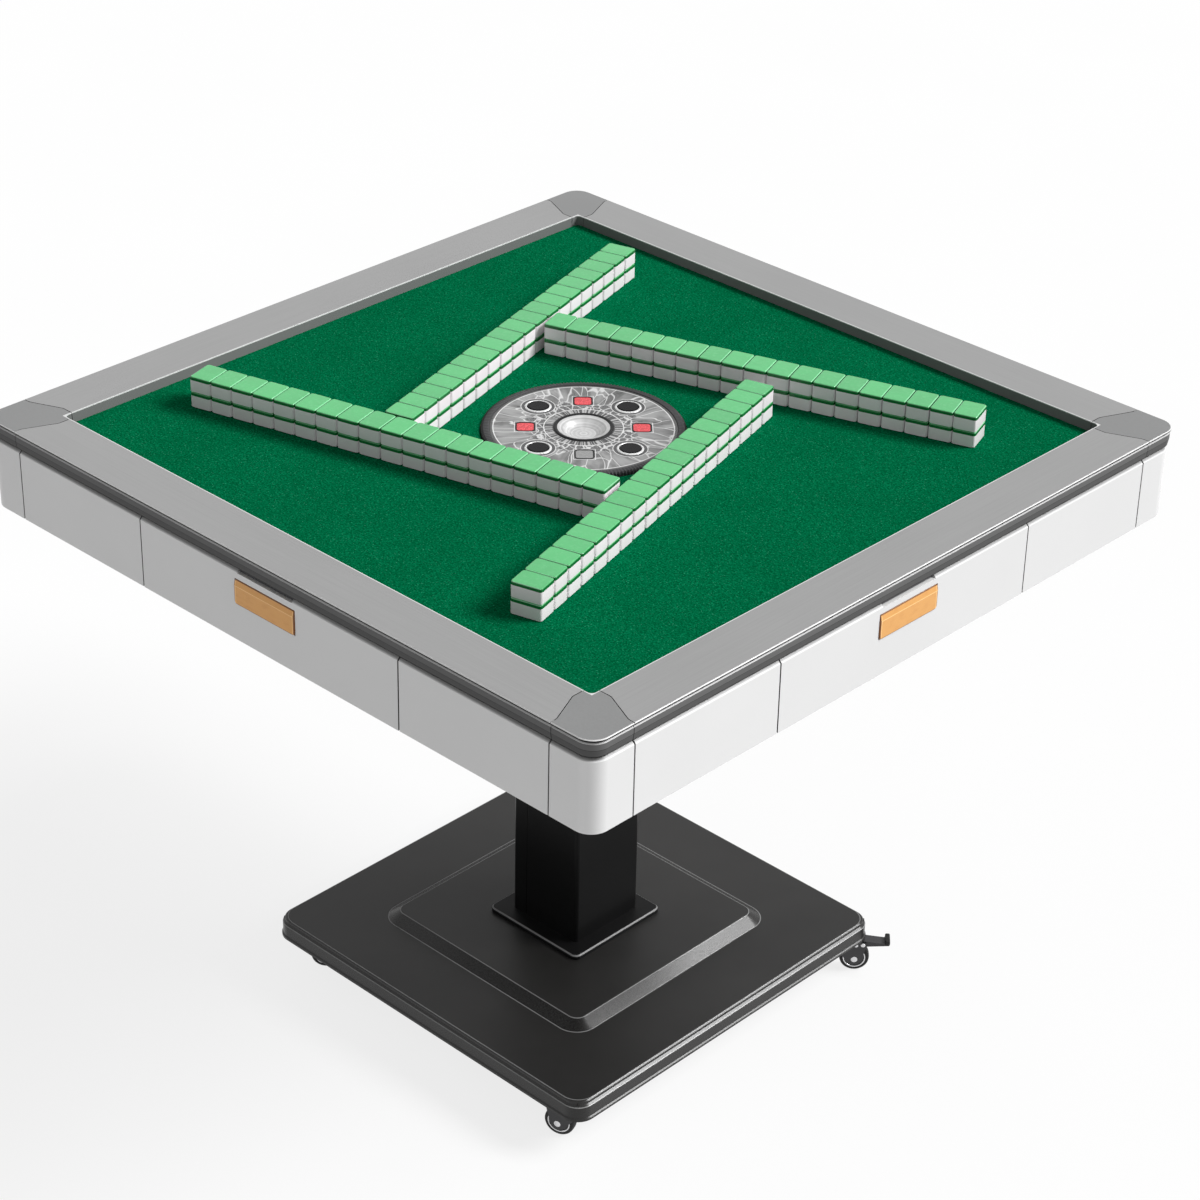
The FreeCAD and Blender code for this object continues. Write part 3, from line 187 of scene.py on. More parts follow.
@dataclass
class Shell:
    """One piece's mesh, gathered from grids of points that are functions of two parameters."""

    name: str
    points: list[np.ndarray] = field(default_factory=list)
    faces: list[list[int]] = field(default_factory=list)
    slots: list[np.ndarray] = field(default_factory=list)
    marks: dict[str, list[np.ndarray]] = field(default_factory=dict)
    count: int = 0

    def grid(self, surface: np.ndarray, wrap_v: bool = False, cap: bool = False, wrap_u: bool = True,
             slot: int | np.ndarray = 0, **marks: np.ndarray) -> "Shell":
        """Adds a grid, or a stack of like grids, as four-sided faces.

        Args:
            surface: points, (u, v, 3) or (copies, u, v, 3).
            wrap_v: whether the last v joins the first.
            cap: whether the first and last v are closed by one flat face each.
            wrap_u: whether the last u joins the first.
            slot: the finish of each face, for all or for each step of v.
            marks: values kept at each point, which spread over the grid.

        Returns:
            The shell itself.
        """
        stack = surface.reshape((-1,) + surface.shape[-3:])
        copies, rows, columns = stack.shape[:3]
        index = np.arange(copies * rows * columns).reshape(copies, rows, columns) + self.count
        beside, above = np.roll(index, -1, 1), np.roll(index, -1, 2)
        quads = np.stack([index, beside, np.roll(beside, -1, 2), above], -1)
        quads = quads[:, :rows if wrap_u else rows - 1, :columns if wrap_v else columns - 1]
        self.faces += quads.reshape(-1, 4).tolist()
        self.slots.append(np.broadcast_to(slot, quads.shape[:3]).ravel())
        if cap:
            self.faces += index[:, ::-1, 0].tolist() + index[:, :, -1].tolist()
            ends = np.broadcast_to(slot, (columns - 1,))[[0, -1]]
            self.slots.append(np.repeat(ends, copies))
        self.points.append(stack.reshape(-1, 3))
        for key, values in marks.items():
            spread = np.broadcast_to(values, (copies, rows, columns)).ravel()
            self.marks.setdefault(key, []).append(spread)
        self.count += copies * rows * columns
        return self

    def build(self, finishes: list["Finish"], body: str, slot: str, replaces: tuple[str, ...] = (),
              crease: float = 38.0) -> bpy.types.Object:
        """Makes the object, closes its seams, turns its faces outwards and dresses it.

        Args:
            finishes: the finishes, in the order of the faces' slots.
            body: the frame's body that the piece moves with.
            slot: the record's material slot; not used.
            replaces: nodes that the piece stands for.
            crease: the angle between faces, in degrees, from which an edge is sharp.

        Returns:
            The finished object, at the origin.
        """
        mesh = bpy.data.meshes.new(self.name)
        mesh.from_pydata(np.concatenate(self.points), [], self.faces)
        mesh.polygons.foreach_set("material_index", np.concatenate(self.slots).astype(np.int32))
        for key, values in self.marks.items():
            attribute = mesh.attributes.new(key, "FLOAT", "POINT")
            attribute.data.foreach_set("value", np.concatenate(values).astype(np.float32))
        close_seams(mesh)
        mesh.shade_smooth()
        mesh.set_sharp_from_angle(angle=np.radians(crease))
        made = bpy.data.objects.new(self.name, mesh)
        bpy.context.scene.collection.objects.link(made)
        for finish in finishes:
            mesh.materials.append(finish.material())
        weigh_shading(made)
        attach(made, body)
        if replaces:
            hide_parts(*replaces)
        LOG.info("%s: %d faces, on %s", self.name, len(mesh.polygons), body)
        return made


def weigh_shading(made: bpy.types.Object) -> None:
    """Lets large faces set the shading of the edges beside them, so that flats look flat."""
    weigh = made.modifiers.new("weigh_shading", "WEIGHTED_NORMAL")
    weigh.keep_sharp = True


def close_seams(mesh: bpy.types.Mesh) -> None:
    """Merges points that meet at seams and poles, and turns every face outwards.

    Args:
        mesh: the mesh, changed in place.
    """
    work = bmesh.new()
    work.from_mesh(mesh)
    bmesh.ops.remove_doubles(work, verts=work.verts, dist=1e-7)
    bmesh.ops.recalc_face_normals(work, faces=work.faces)
    work.to_mesh(mesh)
    work.free()


# Finishes

class Graph:
    """A material's nodes, with short calls that add a node and link it."""

    def __init__(self, name: str) -> None:
        """Starts a material on its own shader.

        Args:
            name: the material's name.
        """
        self.material = bpy.data.materials.new(name)
        self.material.use_nodes = True
        self.tree = self.material.node_tree
        self.shader = self.tree.nodes["Principled BSDF"]

    def put(self, target: Socket, value: object) -> None:
        """Links an output to an input, or sets the input's own value.

        Args:
            target: the input.
            value: an output to link, or a plain value.
        """
        if isinstance(value, Socket):
            self.tree.links.new(value, target)
        elif isinstance(value, tuple) and target.type == "RGBA":
            target.default_value = (*value, 1.0)
        else:
            target.default_value = value

    def node(self, kind: str, inputs: dict, **settings: object) -> bpy.types.Node:
        """Adds a node.

        Args:
            kind: the node's type.
            inputs: values or outputs for its inputs, by name or number.
            settings: the node's own options.

        Returns:
            The node.
        """
        made = self.tree.nodes.new(kind)
        for key, value in settings.items():
            setattr(made, key, value)
        for key, value in inputs.items():
            self.put(made.inputs[key], value)
        return made

    def math(self, operation: str, first: object, second: object = 0.0) -> Socket:
        """The outcome of one sum on two values."""
        return self.node("ShaderNodeMath", {0: first, 1: second}, operation=operation).outputs[0]

    def place(self, scale: tuple = (1, 1, 1), location: tuple = (0, 0, 0)) -> Socket:
        """The piece's own coordinates, scaled and moved.

        Args:
            scale: the factors across, along and up.
            location: the move, in metres.

        Returns:
            The output that holds the place.
        """
        here = self.node("ShaderNodeTexCoord", {}).outputs["Object"]
        inputs = {"Vector": here, "Scale": scale, "Location": location}
        return self.node("ShaderNodeMapping", inputs).outputs[0]

    def axes(self) -> tuple[Socket, ...]:
        """The piece's own x, y and z, in metres."""
        here = self.node("ShaderNodeTexCoord", {}).outputs["Object"]
        return tuple(self.node("ShaderNodeSeparateXYZ", {0: here}).outputs)

    def noise(self, vector: Socket, scale: float, detail: float = 2.0) -> Socket:
        """Soft noise from 0 to 1, about a half."""
        inputs = {"Vector": vector, "Scale": scale, "Detail": detail}
        return self.node("ShaderNodeTexNoise", inputs).outputs["Fac"]

    def cells(self, vector: Socket, scale: float) -> Socket:
        """Irregular cells, as the distance to the nearest border."""
        inputs = {"Vector": vector, "Scale": scale}
        return self.node("ShaderNodeTexVoronoi", inputs, feature="DISTANCE_TO_EDGE").outputs["Distance"]

    def warped(self, vector: Socket, scale: float, amount: float) -> Socket:
        """Places pushed about by noise.

        Args:
            vector: the places.
            scale: how fine the noise is.
            amount: the longest push, in the unit of the places.

        Returns:
            The output that holds the pushed places.
        """
        inputs = {"Vector": vector, "Scale": scale, "Detail": 2.0}
        push = self.node("ShaderNodeTexNoise", inputs).outputs["Color"]
        inputs = {0: push, 1: (amount,) * 3, 2: vector}
        return self.node("ShaderNodeVectorMath", inputs, operation="MULTIPLY_ADD").outputs[0]

    def span(self, value: object, low: float, high: float, first: float = 0.0, last: float = 1.0) -> Socket:
        """A value eased from first to last as it goes from low to high."""
        inputs = {"Value": value, "From Min": low, "From Max": high, "To Min": first, "To Max": last}
        return self.node("ShaderNodeMapRange", inputs, interpolation_type="SMOOTHSTEP").outputs[0]

    def ramp(self, value: object, low: float, high: float, first: float = 0.0, last: float = 1.0) -> Socket:
        """A length, in metres, eased from first to last as it goes from low to high, in millimetres."""
        return self.span(value, low * MM, high * MM, first, last)

    def within(self, value: object, low: float, high: float, soft: float) -> Socket:
        """One for lengths between two limits and zero outside them.

        Args:
            value: the length, in metres.
            low: the lower limit, in millimetres.
            high: the upper limit, in millimetres.
            soft: half the width of the soft edges, in millimetres.

        Returns:
            The output that holds the number.
        """
        rise = self.ramp(value, low - soft, low + soft)
        fall = self.ramp(value, high - soft, high + soft, 1.0, 0.0)
        return self.math("MULTIPLY", rise, fall)

    def blend(self, first: object, second: object, share: float) -> Socket:
        """Two values added, of which the second has this share."""
        return self.math("ADD", self.math("MULTIPLY", first, 1 - share), self.math("MULTIPLY", second, share))

    def mix(self, factor: object, first: object, second: object) -> Socket:
        """Two colours mixed by a factor.

        Args:
            factor: the second colour's share.
            first: the first colour.
            second: the second colour.

        Returns:
            The output that holds the mixed colour.
        """
        made = self.node("ShaderNodeMix", {}, data_type="RGBA")
        for number, value in ((0, factor), (6, first), (7, second)):
            self.put(made.inputs[number], value)
        return made.outputs[2]

    def outward(self, x: Socket, y: Socket, straight: float) -> Socket:
        """How far out a place is on a round-cornered square: the straight half, plus the rest's length.

        Args:
            x: the place across.
            y: the place along.
            straight: half the straight part of a side, in millimetres.

        Returns:
            The output that holds the distance, in metres.
        """
        over = [self.math("MAXIMUM", self.math("SUBTRACT", self.math("ABSOLUTE", way), straight * MM), 0.0)
                for way in (x, y)]
        return self.math("ADD", self.length(self.joined(*over)), straight * MM)

    def joined(self, x: object = 0.0, y: object = 0.0, z: object = 0.0) -> Socket:
        """A place put together from its three parts."""
        return self.node("ShaderNodeCombineXYZ", {0: x, 1: y, 2: z}).outputs[0]

    def length(self, vector: Socket) -> Socket:
        """How far a place is from the origin."""
        return self.node("ShaderNodeVectorMath", {0: vector}, operation="LENGTH").outputs["Value"]

    def way(self, vector: Socket) -> Socket:
        """The way to a place from the origin, of length one."""
        return self.node("ShaderNodeVectorMath", {0: vector}, operation="NORMALIZE").outputs[0]

    def folded(self, x: Socket, y: Socket) -> tuple[Socket, Socket]:
        """The lesser and the greater of |x| and |y|, which fold the four sides into one."""
        sizes = self.math("ABSOLUTE", x), self.math("ABSOLUTE", y)
        return self.math("MINIMUM", *sizes), self.math("MAXIMUM", *sizes)

    def rise(self) -> Socket:
        """The upright part of the normal without its sign: one on level faces, zero on upright ones."""
        normal = self.node("ShaderNodeTexCoord", {}).outputs["Normal"]
        return self.math("ABSOLUTE", self.node("ShaderNodeSeparateXYZ", {0: normal}).outputs[2])

    def mark(self, name: str) -> Socket:
        """A value that the mesh keeps at its points."""
        return self.node("ShaderNodeAttribute", {}, attribute_name=name).outputs["Fac"]

    def bump(self, height: object, strength: float, distance: float) -> None:
        """Raises the surface by a height, for the light alone."""
        inputs = {"Height": height, "Strength": strength, "Distance": distance}
        self.put(self.shader.inputs["Normal"], self.node("ShaderNodeBump", inputs).outputs[0])

    def shade(self, **inputs: object) -> bpy.types.Material:
        """Sets the shader's sockets.

        Args:
            inputs: values or outputs for the sockets, named with underscores for spaces.

        Returns:
            The material.
        """
        for key, value in inputs.items():
            self.put(self.shader.inputs[key.replace("_", " ")], value)
        return self.material


def scaled(colour: Colour, factor: float) -> Colour:
    """A colour made lighter or darker by a factor."""
    return tuple(min(channel * factor, 1.0) for channel in colour)


MADE: dict["Finish", bpy.types.Material] = {}


@dataclass(frozen=True)
class Finish:
    """A surface finish: a colour and how rough it is."""

    name: str
    colour: Colour
    roughness: float

    def material(self) -> bpy.types.Material:
        """Makes the finish's material once and keeps it.

        Returns:
            The material.
        """
        if self not in MADE:
            MADE[self] = self.paint(Graph(self.name))
        return MADE[self]

    def paint(self, graph: Graph) -> bpy.types.Material:
        """Fills the material's nodes.

        Args:
            graph: the material's nodes.

        Returns:
            The material.
        """
        raise NotImplementedError

    def tinted(self, graph: Graph, factor: Socket, low: float, high: float) -> Socket:
        """The colour made darker or lighter: from low to high times itself, as the factor says."""
        return graph.mix(factor, scaled(self.colour, low), scaled(self.colour, high))

    def polish(self, graph: Graph, marks: Socket, less: float = 0.05, more: float = 0.05) -> Socket:
        """The roughness, less where the marks are weak and more where they are strong."""
        return graph.span(marks, *NOISE, self.roughness - less, self.roughness + more)


@dataclass(frozen=True)
class Moulded(Finish):
    """Moulded or coated stuff: slow tone changes, a fine grain and slight changes of gloss."""

    grain: float = 1400.0
    depth: float = 0.00004
    spread: float = 0.06
    specular: float = 0.4
    metallic: float = 0.0

    def paint(self, graph: Graph) -> bpy.types.Material:
        """Slow noise moves the tone by the spread either way; fine noise makes the grain.

        Args:
            graph: the material's nodes.

        Returns:
            The material.
        """
        here = graph.place()
        slow = graph.noise(here, scale=7.0, detail=3.0)
        fine = graph.noise(here, scale=self.grain, detail=3.0)
        tone = graph.span(graph.blend(slow, fine, 0.3), *NOISE)
        base = self.lined(graph, self.tinted(graph, tone, 1 - self.spread, 1 + self.spread))
        gloss = self.dulled(graph, graph.span(fine, 0.25, 0.75, self.roughness - 0.05, self.roughness + 0.05))
        graph.bump(fine, strength=0.35, distance=self.depth)
        return graph.shade(Base_Color=base, Roughness=gloss, Specular_IOR_Level=self.specular,
                           Metallic=self.metallic)

    def lined(self, graph: Graph, base: Socket) -> Socket:
        """The colour with any lines drawn on it, of which the plain stuff has none."""
        return base

    def dulled(self, graph: Graph, gloss: Socket) -> Socket:
        """The roughness with any duller places, of which the plain stuff has none."""
        return gloss


@dataclass(frozen=True)
class Panelled(Moulded):
    """Moulded panels: dark in the joints between them, with a painted highlight as a light line under the top
    bevel, and painted shade that darkens the bevel upwards, under the rail.

    Each joint is a place along the side and a tone, as a share of the colour.
    """

    joints: tuple[tuple[float, float], ...] = ((207.0, 0.1), (423.0, 0.3))
    joint_half: float = 0.85
    edge: float = 747.5
    # light is the tone of the painted highlight, and dark the tone of the painted shade, as shares of the
    # colour
    light: float = 1.16
    dark: float = 0.25

    def lined(self, graph: Graph, base: Socket) -> Socket:
        """The lesser of |x| and |y| is the place along a side, which finds the joints.

        Args:
            graph: the material's nodes.
            base: the colour so far.

        Returns:
            The colour with the lines on it.
        """
        x, y, level = graph.axes()
        along, _ = graph.folded(x, y)
        # Painted highlight: a light line along the foot of the top bevel
        line = graph.within(level, self.edge - 0.5, self.edge + 0.3, 0.15)
        base = graph.mix(line, base, scaled(self.colour, self.light))
        # Painted shade: the top bevel darkens upwards, under the rail's lip
        shade = graph.ramp(level, self.edge + 0.3, self.edge + 1.8, 0.0, 0.8)
        base = graph.mix(shade, base, scaled(self.colour, self.dark))
        for joint, tone in self.joints:
            gap = graph.within(along, joint - self.joint_half, joint + self.joint_half, 0.04)
            base = graph.mix(gap, base, scaled(self.colour, tone))
        return base


@dataclass(frozen=True)
class Pressed(Moulded):
    """Coated pressings, with painted highlights: light lines on the pressed edges.

    Each edge is a straight half, a distance out, a half width and a lowest level; a ledge is a level.
    """

    edges: tuple[tuple[float, float, float, float], ...] = ()
    ledges: tuple[float, ...] = ()
    # thin is the tone of the painted highlights on the edges and ledges
    thin: float = 0.22
    below: float = 100.0
    dull: float = 0.17

    def lined(self, graph: Graph, base: Socket) -> Socket:
        """The distance out on a round-cornered square finds the edges, and the height finds the ledges.

        Args:
            graph: the material's nodes.
            base: the colour so far.

        Returns:
            The colour with the lines on it.
        """
        x, y, level = graph.axes()
        low = graph.ramp(level, self.below, self.below + 1, 1.0, 0.0)
        # Painted highlights: light lines along the edges and the ledges
        for straight, out, half, floor in self.edges:
            line = graph.within(graph.outward(x, y, straight), out - half, out + half, 0.25)
            above = graph.math("MULTIPLY", graph.ramp(level, floor, floor + 0.3), low)
            base = graph.mix(graph.math("MULTIPLY", line, above), base, (self.thin,) * 3)
        for ledge in self.ledges:
            line = graph.within(level, ledge - 0.4, ledge + 0.5, 0.2)
            base = graph.mix(line, base, (self.thin,) * 3)
        return base

    def dulled(self, graph: Graph, gloss: Socket) -> Socket:
        """Level faces, where the upright part of the normal is near one, are duller than slopes."""
        return graph.math("ADD", gloss, graph.span(graph.rise(), 0.985, 0.998, 0.0, self.dull))


@dataclass(frozen=True)
class RailGrey(Finish):
    """Brushed grey edge section: bright edges and a bright bead as painted highlights, the lip's side and
    groove black as painted shade, and a dark fascia, partly a darker finish and partly painted shade.

    Each zone is the depth below the top at which it starts, and its tone.
    """

    grain: Grain = Grain.NONE
    top: float = 775.0
    half: float = 485.0
    corner: float = 22.0
    inner: float = 419.5
    # bright is the tone of the painted highlight on the top edges; wall is the tone of the inner upright faces,
    # partly a darker finish and partly painted shade
    bright: Colour = (0.72, 0.72, 0.72)
    wall: Colour = (0.2, 0.2, 0.2)
    seam: Colour = (0.012, 0.012, 0.012)
    # Zones down from the top: the lip's side and the groove black, painted shade; the bead light, a painted
    # highlight; the fascia dark, partly a darker finish and partly painted shade; a thin dark line and a darker
    # lower fascia, painted shade; and a black line at its foot, painted shade at the gap above the skirt
    zones: tuple[tuple[float, float], ...] = ((1.0, 0.008), (4.5, 0.62), (6.0, 0.125), (12.8, 0.02),
                                              (13.2, 0.085), (20.6, 0.015))

    def paint(self, graph: Graph) -> bpy.types.Material:
        """Heights find the zones and distances the edges; stretched noise gives the brush marks.

        Args:
            graph: the material's nodes.

        Returns:
            The material.
        """
        x, y, level = graph.axes()
        _, reach = graph.folded(x, y)
        streak = graph.noise(graph.place(self.grain.value), scale=1.0, detail=4.0)
        slow = graph.noise(graph.place(), scale=5.0, detail=2.0)
        face = self.tinted(graph, graph.span(graph.blend(streak, slow, 0.4), *NOISE), 0.95, 1.05)
        base = face
        for depth, tone in self.zones:
            start = self.top - depth
            base = graph.mix(graph.ramp(level, start - 0.1, start + 0.1, 1.0, 0.0), base, (tone,) * 3)
        # Painted shade, in part: the inner upright faces take the darker wall tone
        below = graph.ramp(level, self.top - 1.3, self.top - 1.0, 1.0, 0.0)
        wall = graph.mix(below, face, self.wall)
        base = graph.mix(graph.ramp(reach, self.inner + 8, self.inner + 9), wall, base)
        # Painted highlight: light lines on the inner and outer top edges
        upper = graph.ramp(level, self.top - 1.25, self.top - 1.05)
        brim = graph.ramp(reach, self.inner + 1.2, self.inner + 1.5, 1.0, 0.0)
        out = graph.outward(x, y, self.half - self.corner)
        lip = graph.ramp(out, self.half - 1.15, self.half - 0.95)
        edge = graph.math("MULTIPLY", upper, graph.math("MAXIMUM", brim, lip))
        base = graph.mix(edge, base, self.bright)
        base = graph.mix(self.cut_end(graph, reach, out), base, self.seam)
        graph.bump(streak, strength=0.08, distance=0.00004)
        shine = graph.ramp(level, self.top - 1.3, self.top - 1.0, 0.04, 0.22)
        return graph.shade(Base_Color=base, Roughness=self.polish(graph, streak), Specular_IOR_Level=shine)

    def cut_end(self, graph: Graph, reach: Socket, out: Socket) -> Socket:
        """One on the upright faces of the curved seams, which lie inside the section, and zero elsewhere.

        Args:
            graph: the material's nodes.
            reach: the greater of |x| and |y|.
            out: how far out the place is on the rails' round-cornered square.

        Returns:
            The output that holds the number.
        """
        inside = graph.math("MULTIPLY", graph.ramp(reach, self.inner + 2, self.inner + 2.2),
                            graph.ramp(out, self.half - 6.2, self.half - 6, 1.0, 0.0))
        return graph.math("MULTIPLY", graph.span(graph.rise(), 0.9, 0.97, 1.0, 0.0), inside)


@dataclass(frozen=True)
class Nap(Finish):
    """Short woven nap: a deep green with light and dark specks, and no shine."""

    light: Colour = (0.003, 0.2, 0.082)
    dark: Colour = (0.0, 0.075, 0.026)
    lint: Colour = (0.05, 0.34, 0.2)

    def paint(self, graph: Graph) -> bpy.types.Material:
        """Two fine noises make specks and fibres, over slow clouds in the lie of the nap.

        Args:
            graph: the material's nodes.

        Returns:
            The material.
        """
        here = graph.place()
        speck = graph.noise(here, scale=520.0, detail=2.0)
        fibre = graph.noise(graph.place((260.0, 900.0, 900.0)), scale=1.0, detail=2.0)
        cloud = graph.noise(here, scale=9.0, detail=3.0)
        lint = graph.noise(graph.place(location=(0.3, 0.2, 0.1)), scale=640.0, detail=0.0)
        base = graph.mix(graph.span(speck, 0.36, 0.5), self.dark, self.colour)
        base = graph.mix(graph.span(speck, 0.53, 0.68), base, self.light)
        base = graph.mix(graph.span(fibre, 0.5, 0.75, 0.0, 0.35), base, self.light)
        base = graph.mix(graph.span(cloud, 0.35, 0.65, 0.0, 0.18), base, self.dark)
        base = graph.mix(graph.span(lint, 0.74, 0.8, 0.0, 0.6), base, self.lint)
        graph.bump(graph.math("ADD", speck, fibre), strength=0.5, distance=0.0003)
        return graph.shade(Base_Color=base, Roughness=self.roughness, Specular_IOR_Level=0.0)


@dataclass(frozen=True)
class TilePolish(Finish):
    """A two-part tile: pale body, dark green line and mint back, by the level in the tile; the dark green line
    is partly a deeper green and partly painted shade.

    The mark tile_level runs from 0 at the tile's bottom to 1 on its back, tile_flank to 1 at its
    long sides, and tile_tone differs from tile to tile.
    """

    back: Colour = (0.09, 0.51, 0.175)
    line: Colour = (0.008, 0.16, 0.036)
    vein: Colour = (0.24, 0.7, 0.35)
    # crease is the tone of the painted highlight along the tiles' upper long edges
    crease: Colour = (0.4, 0.85, 0.52)

    def paint(self, graph: Graph) -> bpy.types.Material:
        """The level finds body, line and back; the flank and the level together find the pale lines on the long
        sides' upper edges, which are painted highlights.

        Args:
            graph: the material's nodes.

        Returns:
            The material.
        """
        level, tone = graph.mark("tile_level"), graph.mark("tile_tone")
        slow = graph.noise(graph.place(), scale=60.0, detail=2.0)
        vein = graph.noise(graph.place(), scale=260.0, detail=3.0)
        cast = graph.span(graph.math("ADD", tone, slow), 0.4, 1.6)
        body = self.tinted(graph, cast, 0.97, 1.02)
        back = graph.mix(cast, scaled(self.back, 0.93), scaled(self.back, 1.06))
        back = graph.mix(graph.span(vein, 0.45, 0.75, 0.0, 0.14), back, self.vein)
        # The green layer's side is darker than its back: partly a deeper green, partly painted shade
        base = graph.mix(graph.span(level, 0.77, 0.785), body, self.line)
        base = graph.mix(graph.span(level, 0.952, 0.985), base, back)
        # Painted highlight: a pale line on the rounded upper edge of each long side
        side = graph.span(graph.mark("tile_flank"), 0.9, 0.93)
        crease = graph.math("MULTIPLY", side, graph.span(level, 0.93, 0.96))
        base = graph.mix(graph.math("MULTIPLY", crease, 0.5), base, self.crease)
        return graph.shade(Base_Color=base, Roughness=self.polish(graph, slow, less=0.04),
                           Specular_IOR_Level=0.4, Coat_Weight=0.1, Coat_Roughness=0.1)


@dataclass(frozen=True)
class Amber(Finish):
    """Tinted amber plate: clouded deeper and paler, with a clear top coat, painted highlights on its ridge and
    border lines and painted shade round its rim.
    """

    # pale is the tone of the painted highlight on the ridge and border lines, and rim the tone of the painted
    # shade round the plate
    deep: Colour = (0.5, 0.19, 0.035)
    pale: Colour = (0.95, 0.6, 0.26)
    rim: Colour = (0.16, 0.05, 0.012)
    low: float = 709.0
    high: float = 739.4
    half: float = 48.2
    ridge: float = 731.4

    def paint(self, graph: Graph) -> bpy.types.Material:
        """Clouds mix in the deep tint; the height and the place along draw the ridge and border lines as
        painted highlights and the rim as painted shade.

        Args:
            graph: the material's nodes.

        Returns:
            The material.
        """
        x, y, level = graph.axes()
        along, _ = graph.folded(x, y)
        cloud = graph.noise(graph.place((1.0, 1.0, 2.4)), scale=60.0, detail=4.0)
        fine = graph.noise(graph.place(), scale=1800.0, detail=2.0)
        base = graph.mix(graph.span(cloud, 0.45, 0.8, 0.0, 0.3), self.colour, self.deep)
        # Painted highlight: light lines on the ridge and along the border
        ridge = graph.within(level, self.ridge - 0.35, self.ridge + 0.45, 0.2)
        border = graph.within(along, self.half - 2.7, self.half - 1.9, 0.2)
        inside = graph.ramp(level, self.high - 2.2, self.high - 1.8, 1.0, 0.0)
        light = graph.math("MULTIPLY", graph.math("MAXIMUM", ridge, border), inside)
        base = graph.mix(graph.math("MULTIPLY", light, 0.9), base, self.pale)
        # Painted shade: a dark rim round the plate, where it sits in its pocket
        above = graph.ramp(level, self.high - 1.6, self.high - 1.1)
        beside = graph.ramp(along, self.half - 1.4, self.half - 1.0)
        under = graph.ramp(level, self.low + 1.0, self.low + 1.4, 1.0, 0.0)
        rim = graph.math("MAXIMUM", graph.math("MAXIMUM", above, beside), under)
        base = graph.mix(graph.math("MULTIPLY", rim, 0.9), base, self.rim)
        graph.bump(fine, strength=0.2, distance=0.00004)
        return graph.shade(Base_Color=base, Roughness=self.polish(graph, fine), Specular_IOR_Level=0.3,
                           Coat_Weight=0.1, Coat_Roughness=0.1)


@dataclass(frozen=True)
class DiscPrint(Finish):
    """Embossed grey foil: petals outside, crackle inside, light creases, rings and outlines."""

    dark: Colour = (0.05, 0.05, 0.052)
    pale: Colour = (0.8, 0.8, 0.8)
    button_circle: float = 74.0
    lamp_circle: float = 67.0

    def paint(self, graph: Graph) -> bpy.types.Material:
        """Cells on angle and distance make petals, plain cells crackle; distances draw the lines.

        Args:
            graph: the material's nodes.

        Returns:
            The material.
        """
        x, y, _ = graph.axes()
        flat = graph.joined(x, y)
        radius, way = graph.length(flat), graph.way(flat)
        bent = graph.warped(flat, scale=60.0, amount=0.012)
        lift = graph.joined(z=graph.math("MULTIPLY", radius, 4.0))
        fan = graph.node("ShaderNodeVectorMath", {0: way, 1: lift}, operation="ADD").outputs[0]
        petal = graph.warped(fan, scale=2.5, amount=0.35)
        ragged = graph.math("ADD", radius, graph.math("MULTIPLY", graph.noise(flat, scale=40.0), 0.03))
        inner = graph.ramp(ragged, 75, 85, 1.0, 0.0)
        outer = graph.noise(petal, scale=6.0, detail=4.0)
        tone = graph.mix(inner, outer, graph.noise(bent, scale=260.0, detail=3.0))
        base = self.tinted(graph, graph.span(tone, 0.34, 0.66), 0.5, 1.5)
        base = graph.mix(graph.math("MULTIPLY", inner, 0.85), base, self.dark)
        crease = graph.span(graph.cells(petal, scale=5.5), 0.008, 0.04, 1.0, 0.0)
        crackle = graph.span(graph.cells(bent, scale=105.0), 0.03, 0.1, 1.0, 0.0)
        fine = graph.span(graph.cells(bent, scale=290.0), 0.03, 0.12, 0.2, 0.0)
        lines = graph.mix(inner, crease, graph.math("MAXIMUM", crackle, fine))
        base = graph.mix(graph.math("MULTIPLY", lines, 0.8), base, self.pale)
        dash = graph.span(graph.noise(way, scale=19.0, detail=1.0), 0.5, 0.56)
        band = graph.within(radius, 36, 45, 0.2)
        base = graph.mix(band, base, graph.mix(dash, self.dark, scaled(self.pale, 0.6)))
        for line, tint in ((35.6, self.dark), (46.0, self.pale), (104.2, self.pale)):
            base = graph.mix(graph.within(radius, line - 0.55, line + 0.55, 0.2), base, tint)
        base = graph.mix(graph.ramp(radius, 105, 105.6), base, scaled(self.colour, 0.3))
        base = self.outlined(graph, base, x, y)
        graph.bump(graph.math("ADD", lines, tone), strength=0.4, distance=0.0004)
        return graph.shade(Base_Color=base, Roughness=self.polish(graph, tone, 0.08, 0.08), Metallic=0.1,
                           Coat_Weight=0.15, Coat_Roughness=0.12)

    def outlined(self, graph: Graph, base: Socket, x: Socket, y: Socket) -> Socket:
        """Dark rings in thin circles round the buttons, and thin squares round the lamps.

        The plate is folded into one quarter, so that each shape is drawn once.

        Args:
            graph: the material's nodes.
            base: the colour so far.
            x: the place across.
            y: the place along.

        Returns:
            The colour with the shapes on it.
        """
        along, reach = graph.folded(x, y)
        away = graph.math("SUBTRACT", reach, self.button_circle * MM)
        gap = graph.length(graph.joined(away, along))
        base = graph.mix(graph.ramp(gap, 19.2, 19.5, 1.0, 0.0), base, self.dark)
        circle = graph.within(gap, 19.5, 20.4, 0.2)
        out = graph.math("MULTIPLY", graph.math("ADD", along, reach), DIAGONAL)
        off = graph.math("ABSOLUTE", graph.math("SUBTRACT", out, self.lamp_circle * MM))
        side = graph.math("MULTIPLY", graph.math("SUBTRACT", reach, along), DIAGONAL)
        square = graph.within(graph.math("MAXIMUM", off, side), 12.0, 12.9, 0.2)
        return graph.mix(graph.math("MULTIPLY", graph.math("MAXIMUM", circle, square), 0.9), base, self.pale)


